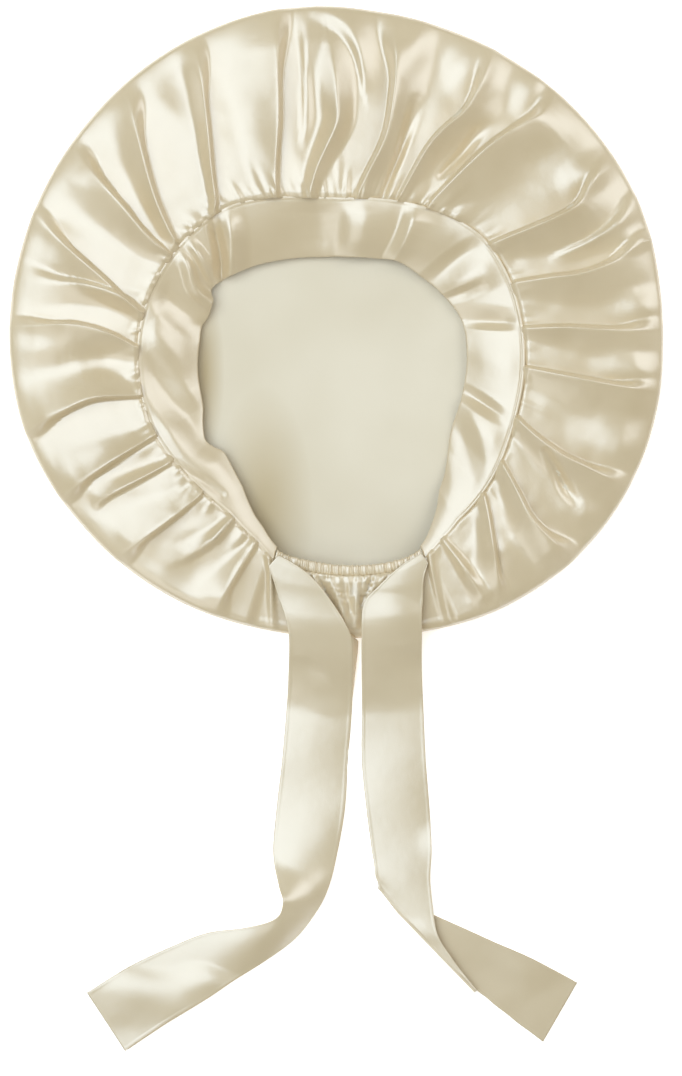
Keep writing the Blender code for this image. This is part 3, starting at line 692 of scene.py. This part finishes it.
def nape_pucker(bearing):
    """The tight uneven gathers on the elastic, from -1 to 1 along the casing."""
    step = (bearing - NAPE_LEFT) / (NAPE_RIGHT - NAPE_LEFT)
    uneven = 0.012 * np.sin(21.0 * step) + 0.006 * np.sin(57.0 * step + 1.0)
    phase = PUCKERS * 2.0 * math.pi * (step + uneven)
    return 0.55 * np.sin(phase) + 0.45 * np.sin(1.73 * phase + 1.0)


def ring_relief(bearing, out, radius):
    """All folds, hollows and gathers of the ring, pressed down under the ties."""
    spots = flat_point(bearing, radius).reshape(-1, 2)
    total = sum(fold_height(fold, ring_radius, spots, FOLD_GAIN, grows=True) for fold in FOLDS)
    total += sum(swell_height(swell, spots) for swell in SWELLS)
    total = total.reshape(np.shape(bearing))
    turn = np.radians(bearing)
    fine = fine_noise(40 + 9 * np.cos(turn) * (1 + out), 40 + 9 * np.sin(turn) * (1 + out))
    total += FINE_WAVE * fine
    total += BROAD_WAVE * broad_noise(60 + bearing / 8.0, 20 + 1.4 * out)
    total = total * (RIM_RELIEF + (1.0 - RIM_RELIEF) * ease((1.0 - out) / RIM_FADE))
    total = total * (1.0 - PRESSED * nape_share(bearing, PRESSED_BLEND, PRESSED_MARGIN))
    nape = sum(fold_height(fold, ring_radius, spots, NAPE_GAIN) for fold in NAPE_FOLDS)
    nape = nape.reshape(np.shape(bearing))
    pucker = nape_pucker(bearing) * nape_share(bearing, 1.0) * (1.0 - ease(out / PUCKER_END))
    return total + nape + gathers(bearing, out) + PUCKER_BELOW * PUCKER * pucker


def column_bearings(levels):
    """Bearings of the ring's columns, which follow the long folds and stand close beside them."""
    lines = []
    for fold in FOLDS:
        path = smooth_path(fold.path)
        long = path[0, 1] <= LONG_START and path[-1, 1] >= LONG_END
        if long and fold.path[0][0] != SHORT_TWIN:
            lines.append(np.interp(levels, path[:, 1], path[:, 0]))
    lines = sorted(lines, key=lambda line: line[0] % 360.0)
    columns = []
    for number, line in enumerate(lines):
        after = lines[(number + 1) % len(lines)]
        gap = (after - line) % 360.0
        count = round(COLUMNS * 0.5 * (gap[0] + gap[-1]) / 360.0)
        for step in range(count):
            share = step / count
            share = share - CLOSE_TO_FOLDS * math.sin(2.0 * math.pi * share) / (2.0 * math.pi)
            columns.append(line + gap * share)
    return np.array(columns).T


def ring_surface(bearing, out):
    """Points of the pleated ring, and the relief that its folds add."""
    radius = ring_radius(bearing, out)
    relief = ring_relief(bearing, out, radius)
    tuck = 1.0 - ease(out / TUCK_WIDTH)
    at_nape = nape_share(bearing, NAPE_EDGE)
    radius = radius - TUCK_IN * tuck * (1.0 - 0.5 * at_nape)
    height = ring_lift(bearing, out) + relief
    height = height - (TUCK_DOWN + TUCK_AT_WELT * welt_share(bearing)) * tuck * (1.0 - 0.6 * at_nape)
    height = height - NAPE_STEP * at_nape * (1.0 - ease(out / NAPE_STEP_END))
    height = height - NAPE_SLOPE * at_nape * clamp(out / NAPE_SLOPE_END)
    return lifted(flat_point(bearing, radius), height), relief


def rolled_rim(bearing, top, relief):
    """Loops over the rolled rim, from the ring's edge down to the back panel."""
    loops = []
    for angle in ROLL_ANGLES:
        turn = math.radians(angle)
        share = math.sin(turn) / math.sin(math.radians(ROLL_FROM))
        around = rim_radius(bearing) - RIM_BOW + RIM_BOW * math.cos(turn)
        around = around + ROLL_RELIEF * relief * max(share, 0.0)
        lift = HALF_RIM + (top * share if angle > 0 else HALF_RIM * math.sin(turn))
        loops.append(lifted(flat_point(bearing, around), lift))
    return loops


def back_panel(bearing):
    """Loops of the panel that lies on the surface, from the rim to the middle."""
    reach = rim_radius(bearing) - HALF_RIM
    return [lifted(flat_point(bearing, reach * share), PANEL_LIFT) for share in PANEL_SHARES]


def inside_loops(bearing, top, outer):
    """Loops of the bag's inside: the waved panel, the rim and the ring's underside."""
    loops = []
    reach = rim_radius(bearing) - HALF_RIM
    for share in INSIDE_SHARES:
        spot = flat_point(bearing, reach * share)
        wave = broad_noise(spot[:, 0] * 16 + 30, spot[:, 1] * 9 + 30) * LONG_WAVE * MM
        wave += broad_noise(spot[:, 0] * 34 + 70, spot[:, 1] * 26 + 70) * SHORT_WAVE * MM
        rise = INSIDE_RISE * (1.0 - ease((share - 0.52) / 0.32))
        lift = INSIDE_LIFT + rise + wave * ease(share * 5.0)
        loops.append(lifted(spot, np.maximum(lift, INSIDE_LEAST)))
    for angle in INSIDE_ANGLES:
        turn = math.radians(angle)
        around = reach + (HALF_RIM - RIM_WALL) * math.cos(turn)
        inside_top = np.minimum(HALF_RIM, top) if angle > 0 else HALF_RIM
        lift = HALF_RIM + (inside_top - RIM_WALL) * math.sin(turn)
        loops.append(lifted(flat_point(bearing, around), lift))
    below = np.array([0.0, 0.0, RING_WALL])
    loops += [outer[row] - below for row in range(RING_ROWS - 1, 0, -INSIDE_STEP)]
    return [*loops, outer[0] - below]


def crown_faces(outside_rows, inside_rows, count):
    """Faces of the outside, the inside and the seam's edge, and the numbers of the first two."""
    faces = grid_faces(outside_rows, count, True, flip=True)
    first = outside_rows * count
    last = first + (inside_rows - 1) * count
    faces.append([first - count + column for column in range(count)][::-1])
    outside = len(faces)
    inside = grid_faces(inside_rows, count, True, flip=True)
    faces += [[corner + first for corner in face] for face in inside]
    faces.append([first + column for column in range(count)])
    inside = len(faces) - outside
    for column in range(count):
        after = (column + 1) % count
        faces.append([column, after, last + after, last + column])
    return faces, outside, inside


def build_crown():
    levels = np.linspace(0.0, 1.0, RING_ROWS) ** ROW_POWER
    bearing = column_bearings(levels)
    outer, relief = ring_surface(bearing, np.broadcast_to(levels[:, None], bearing.shape))
    at_rim = bearing[-1]
    top = outer[-1, :, 2] - HALF_RIM
    outside_loops = [*outer, *rolled_rim(at_rim, top, relief[-1]), *back_panel(at_rim)]
    inner_loops = inside_loops(at_rim, top, outer)
    faces, outside, inside = crown_faces(len(outside_loops), len(inner_loops), len(at_rim))
    crown = make_mesh("crown_cloth", np.concatenate(outside_loops + inner_loops), faces)
    side = np.zeros(len(faces), dtype=np.int32)
    side[outside:outside + inside] = 1
    crown.data.materials.append(satin("crown_satin_outside", SATIN))
    # The reverse carries the panel's painted shade
    crown.data.materials.append(reverse("crown_satin_reverse", REVERSE))
    crown.data.polygons.foreach_set("material_index", side)
    return crown


crown = build_crown()
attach(crown, "root")
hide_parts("crown")


# Band
BAND_COLUMNS = 760
BAND_ROWS = 42
BAND_PUFF = 0.0016
BAND_WAVE = 0.4 * MM
BAND_WALL = 0.0014
UNDERSIDE_FROM = 0.97
# The relief that is left beside the seam, and what is taken off it at the free edge
SEAM_RELIEF = 0.35
SEAM_FADE = 0.3
EDGE_FLATTER = 0.25
FLAT_FROM = 0.7
EDGE_FADE = 0.3

# The roll of the seam: its width, at most a share of the band's, and its profile as shares of that
# width and heights.  A row below WELT_SUNK stays, and the others fade with the roll.
WELT_WIDTH = 0.0024
WELT_MOST = 0.3
WELT_SUNK = -0.0005
WELT_LEFT = 0.25
WELT = (
    (0.0, -0.0010), (0.0, -0.0003), (0.16, 0.0001), (0.42, 0.0004),
    (0.68, 0.0002), (0.88, -0.0001), (1.0, -0.0002), (1.15, 0.0),
)
# The turned free edge: how far in from the face and how far below it each loop lies
FREE_EDGE = ((0.0005, 0.0003), (0.0006, 0.0008), (0.0, 0.0013))


def band_relief(bearing, inward, radius):
    spots = flat_point(bearing, radius).reshape(-1, 2)
    total = sum(fold_height(fold, band_radius, spots, BAND_GAIN) for fold in BAND_FOLDS)
    total = total.reshape(np.shape(bearing))
    at_seam = SEAM_RELIEF + (1.0 - SEAM_RELIEF) * ease(inward / SEAM_FADE)
    total = total * at_seam * (1.0 - EDGE_FLATTER * ease((inward - FLAT_FROM) / EDGE_FADE))
    total += BAND_WAVE * broad_noise(90 + bearing / 9.0, 50 + 1.5 * inward)
    return total


def band_face(bearing, inward):
    """Radius and height of the band's face at a share of the way in from the seam."""
    narrow = clamp((seam_radius(bearing) - mouth_radius(bearing)) / BAND_FULL_WIDTH)
    radius = band_radius(bearing, inward)
    height = seam_lift(bearing) - MOUTH_DROP * narrow * inward
    height = height + BAND_PUFF * np.sin(math.pi * inward) * narrow
    return radius, height + narrow * band_relief(bearing, inward, radius)


def band_loop(bearing, inward, inset=0.0, lift=0.0):
    """A loop along the band, moved in and up from its face."""
    radius, height = band_face(bearing, inward)
    return lifted(flat_point(bearing, radius - inset), height + lift)


def build_band():
    span = 360.0 - (NAPE_RIGHT - NAPE_LEFT)
    bearing = NAPE_RIGHT + span * np.linspace(0.0, 1.0, BAND_COLUMNS)
    welt = np.minimum(WELT_WIDTH / (seam_radius(bearing) - mouth_radius(bearing)), WELT_MOST)
    shown = WELT_LEFT + (1.0 - WELT_LEFT) * welt_share(bearing)
    loops = []
    for share, lift in WELT:
        lift = lift if lift < WELT_SUNK else lift * shown
        loops.append(band_loop(bearing, welt * share, lift=lift))
    welt_end = welt * WELT[-1][0]
    for level in np.linspace(0.0, 1.0, BAND_ROWS)[1:]:
        loops.append(band_loop(bearing, welt_end + (1.0 - welt_end) * level))
    for inset, drop in FREE_EDGE:
        loops.append(band_loop(bearing, np.ones_like(bearing), inset, -drop))
    for level in np.linspace(UNDERSIDE_FROM, 0.0, BAND_ROWS // 2):
        loops.append(band_loop(bearing, np.full_like(bearing, level), lift=-BAND_WALL))
    faces = strip_faces(len(loops), BAND_COLUMNS)
    band = make_mesh("band_cloth", np.concatenate(loops), faces)
    band.data.materials.append(satin("band_satin_face", SATIN))
    return band


band = build_band()
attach(band, "root")
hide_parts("band")


# Nape casing
CASING_COLUMNS = 260
CASING_SIDES = 18
CASING_END = 0.2
CASING_MARGIN = 0.0005
CASING_SINK = 0.0004
CASING_HALF = 0.0008


def build_casing():
    bearing = np.linspace(NAPE_LEFT + CASING_END, NAPE_RIGHT - CASING_END, CASING_COLUMNS)
    outer, inner = seam_radius(bearing), mouth_radius(bearing)
    middle, half = 0.5 * (outer + inner), 0.5 * (outer - inner) - CASING_MARGIN
    pucker = PUCKER * nape_pucker(bearing)
    loops = []
    for side in range(CASING_SIDES):
        turn = 2.0 * math.pi * side / CASING_SIDES
        radius = middle + half * math.cos(turn) + 0.5 * pucker * min(math.cos(turn), 0.0)
        height = NAPE_HEIGHT - CASING_SINK + CASING_HALF * math.sin(turn) + pucker
        loops.append(lifted(flat_point(bearing, radius), height))
    faces = strip_faces(CASING_SIDES, CASING_COLUMNS)
    casing = make_mesh("nape_casing_cloth", np.concatenate(loops), faces)
    casing.data.materials.append(satin("casing_satin_gathered", SATIN))
    return casing


casing = build_casing()
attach(casing, "root")
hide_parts("nape_casing")


# Ties
# Cross sections of a tie: place as shares of the pinch's way to the rim (over) or of the tie's length
# past the rim, turn in degrees, and as shares of the ribbon's width the width and three lifts
Section = namedtuple("Section", "across along turn width left middle right")
LEFT_OVER = [Section(*row) for row in (
    (0, 0, 48, 0.2, 0, 0, 0),
    (0.25, 0.29, 32, 0.47, 0, 0.01, 0),
    (0.47, 0.62, 8, 0.67, 0, 0.02, 0),
    (0.61, 0.91, 1, 0.8, 0, 0.02, 0),
    (0.67, 1.14, 0, 0.86, 0, 0.01, 0),
)]
LEFT_LAID = [Section(*row) for row in (
    (0, 0.06, -2, 0.88, 0, 0.02, 0),
    (-0.002, 0.124, -3, 0.9, 0, 0.03, 0.02),
    (-0.01, 0.224, -2, 0.91, 0.02, 0.03, 0),
    (-0.018, 0.312, -3, 0.94, 0, 0.04, 0.03),
    (-0.029, 0.398, -6, 0.87, 0.05, 0.09, 0.02),
    (-0.031, 0.455, -4, 0.68, 0.16, 0.18, 0.03),
    (-0.042, 0.497, -30, 0.46, 0.28, 0.22, 0.03),
    (-0.068, 0.534, -60, 0.4, 0.28, 0.2, 0.02),
    (-0.122, 0.562, -68, 0.54, 0.15, 0.14, 0.02),
    (-0.183, 0.583, -63, 0.75, 0.05, 0.07, 0.02),
    (-0.236, 0.61, -61, 0.86, 0.01, 0.03, 0.01),
    (-0.318, 0.654, -59, 0.94, 0, 0.02, 0.02),
    (-0.394, 0.703, -57, 0.97, 0, 0, 0),
)]
RIGHT_OVER = [Section(*row) for row in (
    (0, 0, -54, 0.16, 0, 0, 0),
    (-0.17, 0.2, -32, 0.37, 0, 0.01, 0),
    (-0.33, 0.48, -17, 0.65, 0, 0.02, 0),
    (-0.44, 0.7, -10, 0.82, 0, 0.02, 0),
    (-0.45, 1.08, -2, 0.84, 0, 0.01, 0),
)]
RIGHT_LAID = [Section(*row) for row in (
    (0, 0.06, 0, 0.84, 0, 0.02, 0),
    (0.002, 0.139, 0, 0.86, 0.02, 0.02, 0),
    (0.004, 0.228, 0, 0.89, 0, 0.03, 0.02),
    (0.012, 0.32, -1, 0.88, 0.02, 0.03, 0),
    (0.018, 0.388, -2, 0.84, 0.03, 0.04, 0.03),
    (0.02, 0.44, -18, 0.82, 0.05, 0.07, 0.06),
    (0.027, 0.492, -40, 1.08, 0.08, 0.09, 0.1),
    (0.043, 0.523, -45, 1.45, 0.08, 0.09, 0.1),
)]
RIGHT_CREASE = Section(0.066, 0.556, -46, 1.98, 0.0, 0.0, 0.0)
RIGHT_UNDER = [Section(*row) for row in (
    (0.127, 0.589, -57, 1.4, 0, 0, 0),
    (0.193, 0.624, -78, 1.03, 0.01, 0.02, 0.01),
    (0.256, 0.658, -104, 0.93, 0.02, 0.03, 0),
    (0.31, 0.691, -120, 0.95, 0, 0.01, 0),
)]

# How a tie lies: the gap below it, more near the seam, and its clearance above the surface
TIE_GAP = 0.0008
SEAM_GAP = 0.0014
TIE_CLEAR = 0.0005
TIE_WALL = 0.0006
# Where it leaves the ring before the rim, how it arches there and how far out it comes down
DRAPE_LEAD = 0.012
DRAPE_ARCH = 0.0010
DRAPE_RUN = 0.044
# Its waves: their height, and how gently the low ones are cut off
TIE_WAVE = 0.0036
WAVE_SOFT = 0.35
WAVE_DEEPER = 1.3
PAST_RIM_FROM = 0.004
PAST_RIM_FADE = 0.012
HANGS_FADE = 0.008
# Its mesh: rows per section, columns across, and the hems' share, lift and columns
TIE_ALONG = 16
TIE_ACROSS = 28
HEM_SHARE = 0.045
HEM_LIFT = 0.00008
HEM_COLUMNS = (0.0, 0.3, 0.6, 0.8, 1.0, 1.2, 1.5)
# The left tie's turned-down edge: ends along Y, reach, drop, floor and columns
TURNED_DOWN = (-0.172, -0.208)
TURNED_OUT = 0.0042
TURNED_DROP = 0.010
TURNED_LOW = 0.0006
TURNED_COLUMNS = (0.25, 0.6, 1.0)
# The right tie's fold: radius, steps and taper, and its row where the reverse begins
FOLD_RADIUS = 0.0017
FOLD_STEPS = 12
FOLD_TAPER = 0.25
FOLD_SHOWS = 4


def drape_height(spots):
    """Height at which a tie lies: over the ring, down past the rim and on the surface."""
    radius = np.hypot(spots[:, 0], spots[:, 1])
    bearing = np.degrees(np.arctan2(spots[:, 1], spots[:, 0]))
    seam = seam_radius(bearing)
    rim_top = rim_radius(bearing) - RIM_TURN
    out = clamp((radius - seam) / (rim_top - seam))
    over = ring_lift(bearing, out) + SEAM_GAP * (1.0 - ease(out / 0.4 - 0.5)) + TIE_GAP
    leaves = rim_top - DRAPE_LEAD
    from_lift = ring_lift(bearing, clamp((leaves - seam) / (rim_top - seam))) + TIE_GAP + DRAPE_ARCH
    over = over + DRAPE_ARCH * ease(1.0 - (leaves - radius) / DRAPE_LEAD)
    past = from_lift * (1.0 - ease((radius - leaves) / (DRAPE_LEAD + RIM_TURN + DRAPE_RUN)))
    return TIE_CLEAR + np.where(radius < leaves, over, past)


def place_rows(rows, corner, reach):
    """Sections with their places in metres from a corner."""
    return [
        row._replace(across=corner[0] + row.across * reach, along=corner[1] - row.along * reach)
        for row in rows
    ]


def across_shares():
    """Places across a tie, closer together at its two hems."""
    hem = HEM_SHARE * np.array(HEM_COLUMNS)
    count = TIE_ACROSS + 1 - 2 * len(hem)
    inner = np.linspace(hem[-1], 1.0 - hem[-1], count + 2)[1:-1]
    return np.concatenate([hem, inner, 1.0 - hem[::-1]])


def tie_row(row):
    """Plan points of a section and how far they lift."""
    turn = math.radians(row.turn)
    way = np.array([math.cos(turn), math.sin(turn)]) * row.width * TIE_WIDTH
    share = across_shares()
    spots = np.array([row.across, row.along]) + way * (share - 0.5)[:, None]
    bow = 4.0 * share * (1.0 - share)
    edges = row.left * (1.0 - share) + row.right * share
    lift = np.maximum(edges + (row.middle - 0.5 * (row.left + row.right)) * bow, 0.0)
    hem = np.minimum(share, 1.0 - share) / HEM_SHARE
    return spots, lift * TIE_WIDTH + HEM_LIFT * (1.0 - ease((hem - 0.75) / 0.5))


def tie_wave(spots):
    """Soft waves of a laid tie."""
    wave = broad_noise(spots[:, 0] * 30 + 150, spots[:, 1] * 38 + 150)
    slant = spots[:, 0] + 0.6 * spots[:, 1]
    wave = wave + 0.5 * fine_noise(slant * 45 + 50, spots[:, 1] * 42 + 50)
    radius = np.hypot(spots[:, 0], spots[:, 1])
    past_rim = ease((radius - CROWN_RADIUS + PAST_RIM_FROM) / PAST_RIM_FADE)
    hangs = past_rim * ease(drape_height(spots) / HANGS_FADE)
    raised = np.maximum(wave, 0.0)
    lowered = WAVE_DEEPER * np.minimum(wave, 0.0) * hangs
    return TIE_WAVE * (raised ** 2 / (raised + WAVE_SOFT) + lowered)


def turned_down(spots, height):
    """The tie's inner edge, turned down between the two ties just past the rim."""
    first, last = TURNED_DOWN
    place = clamp((spots[-1, 1] - first) / (last - first))
    amount = 0.02 + 0.98 * ease(place / 0.12) * (1.0 - place)
    way = (spots[-1] - spots[0]) / np.hypot(*(spots[-1] - spots[0]))
    share = np.array(TURNED_COLUMNS)[:, None]
    added = spots[-1] + way * share * TURNED_OUT * amount
    low = np.maximum(height[-1] - TURNED_DROP * amount * share[:, 0], TURNED_LOW)
    return np.concatenate([spots, added]), np.concatenate([height, low])


def laid(rows, inner_edge=False):
    """Smooth cross lines of a tie that lies over the ring and on the surface."""
    lines = []
    for values in smooth_path(rows, TIE_ALONG):
        spots, lift = tie_row(Section(*values))
        height = drape_height(spots) + lift + tie_wave(spots)
        if inner_edge:
            spots, height = turned_down(spots, height)
        lines.append(lifted(spots, height))
    return lines


def tie_start(bearing, over, on_surface):
    """A tie's sections from its pinch on, and the place past the rim where its laid part starts."""
    pinch = flat_point(bearing, seam_radius(bearing))
    reach = rim_radius(bearing) - np.hypot(*pinch)
    rows = place_rows(over, pinch, reach)
    past_rim = (rows[-1].across, rows[-1].along)
    return rows + place_rows(on_surface, past_rim, TIE_LENGTH), past_rim


def tie_object(side, lines, turned):
    """A tie from its cross lines.  Its reverse, darker with painted shade, shows from the turned row on
    and past its hem.
    """
    grid = np.array(lines)
    columns = grid.shape[1]
    faces = grid_faces(len(grid), columns, False)
    tie = make_mesh(side + "_ribbon", grid.reshape(-1, 3), faces)
    wall = tie.modifiers.new("wall", "SOLIDIFY")
    wall.thickness = TIE_WALL
    wall.offset = 0.0
    tie.data.materials.append(satin(side + "_satin", TIE_SATIN))
    # Painted shade: the reverse's darker tone stands in for the shade under the fold and between the ties
    tie.data.materials.append(satin(side + "_reverse", TIE_REVERSE_AND_SHADE))
    row, column = np.divmod(np.arange(len(faces)), columns - 1)
    shaded_reverse_up = (row >= turned) | (column >= TIE_ACROSS)
    tie.data.polygons.foreach_set("material_index", shaded_reverse_up.astype(np.int32))
    return tie


def build_tie_left():
    rows, _ = tie_start(NAPE_LEFT, LEFT_OVER, LEFT_LAID)
    lines = laid(rows, inner_edge=True)
    return tie_object("tie_left", lines, len(lines))


def build_tie_right():
    """The right tie, folded over along its crease and turned under."""
    rows, past_rim = tie_start(NAPE_RIGHT, RIGHT_OVER, RIGHT_LAID)
    crease = place_rows([RIGHT_CREASE], past_rim, TIE_LENGTH)[0]
    layer = 2.0 * FOLD_RADIUS / TIE_WIDTH
    upper = crease._replace(left=layer, middle=layer, right=layer)
    lines = laid([*rows, upper])
    turned = len(lines) + FOLD_SHOWS
    turn = math.radians(crease.turn - 90.0)
    outward = np.array([math.cos(turn), math.sin(turn)])
    for step in range(1, FOLD_STEPS):
        roll = math.pi * step / FOLD_STEPS
        bulge = FOLD_RADIUS * math.sin(roll) * ease(across_shares() / FOLD_TAPER)
        spots = tie_row(crease)[0] + outward * bulge[:, None]
        lines.append(lifted(spots, TIE_CLEAR + FOLD_RADIUS * (1.0 + math.cos(roll))))
    under = place_rows(RIGHT_UNDER, past_rim, TIE_LENGTH)
    lines += laid([crease, *under])
    return tie_object("tie_right", lines, turned)


tie_left = build_tie_left()
tie_right = build_tie_right()
for tie, name in ((tie_left, "tie_left"), (tie_right, "tie_right")):
    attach(tie, "root")
    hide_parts(name)


# Studio
FLOOR_REACH = 6.0
LIGHT_DISTANCE = 3.2
LIGHT_MIDDLE = (0.0, -0.05, 0.0)
SKY_LOW = (0.46, 0.45, 0.42)
SKY_HIGH = (0.29, 0.27, 0.225)
SKY_RISE = 0.35
CAMERA_HEIGHT = 4.0
CAMERA_MIDDLE = (0.0019, -0.1191)
FRAME_HEIGHT = 0.5918
SENSOR_WIDTH = 36.0


def build_floor():
    corners = [(-1, -1), (1, -1), (1, 1), (-1, 1)]
    points = [(FLOOR_REACH * x, FLOOR_REACH * y, 0) for x, y in corners]
    floor = make_mesh("floor", points, [(0, 1, 2, 3)])
    material, _, shader = new_material("floor_paper")
    set_inputs(shader, Base_Color=(0.97, 0.97, 0.97, 1.0), Emission_Color=(1.0, 1.0, 1.0, 1.0))
    set_inputs(shader, Emission_Strength=0.5, Roughness=0.9, Specular_IOR_Level=0.1)
    floor.data.materials.append(material)
    return floor


def soft_light(name, azimuth, elevation, size, power, color):
    """A round soft box that faces the bonnet from an azimuth (from +X) and an elevation."""
    lamp = bpy.data.lights.new(name, "AREA")
    lamp.shape = "DISK"
    lamp.size = size
    lamp.energy = power
    lamp.color = color
    thing = bpy.data.objects.new(name, lamp)
    around, up = math.radians(azimuth), math.radians(elevation)
    way = Vector((math.cos(around) * math.cos(up), math.sin(around) * math.cos(up), math.sin(up)))
    thing.location = Vector(LIGHT_MIDDLE) + way * LIGHT_DISTANCE
    thing.rotation_euler = way.to_track_quat("Z", "Y").to_euler()
    thing.visible_camera = False
    bpy.context.scene.collection.objects.link(thing)


def build_world():
    """A soft sky that is brighter near the horizon."""
    world = bpy.data.worlds.new("studio")
    bpy.context.scene.world = world
    world.use_nodes = True
    sky = world.node_tree
    place = add_node(sky, "TexCoord")
    split = add_node(sky, "SeparateXYZ")
    rise = add_node(sky, "MapRange", From_Min=0.0, From_Max=SKY_RISE)
    shade = ramp_between(sky, rise.outputs["Result"], SKY_LOW, SKY_HIGH, (0.0, 1.0))
    link(sky, place, "Generated", split, "Vector")
    link(sky, split, "Z", rise, "Value")
    sky.links.new(shade, sky.nodes["Background"].inputs["Color"])
    set_inputs(sky.nodes["Background"], Strength=1.0)
    bpy.context.scene.view_settings.view_transform = "Standard"


def build_camera():
    """A camera straight above, whose picture is FRAME_HEIGHT tall at the rim's height."""
    camera = bpy.data.cameras.new("camera")
    camera.sensor_width = SENSOR_WIDTH
    camera.lens = SENSOR_WIDTH * (CAMERA_HEIGHT - RIM_HEIGHT) / FRAME_HEIGHT
    eye = bpy.data.objects.new("camera", camera)
    eye.location = (*CAMERA_MIDDLE, CAMERA_HEIGHT)
    bpy.context.scene.collection.objects.link(eye)
    bpy.context.scene.camera = eye


build_floor()
soft_light("key", 158, 66, 3.4, 76, (0.757, 0.872, 0.985))
soft_light("side", 25, 42, 2.2, 26, (0.92, 0.96, 1.0))
soft_light("low", 232, 42, 1.8, 9, (0.95, 0.98, 1.0))
build_world()
build_camera()
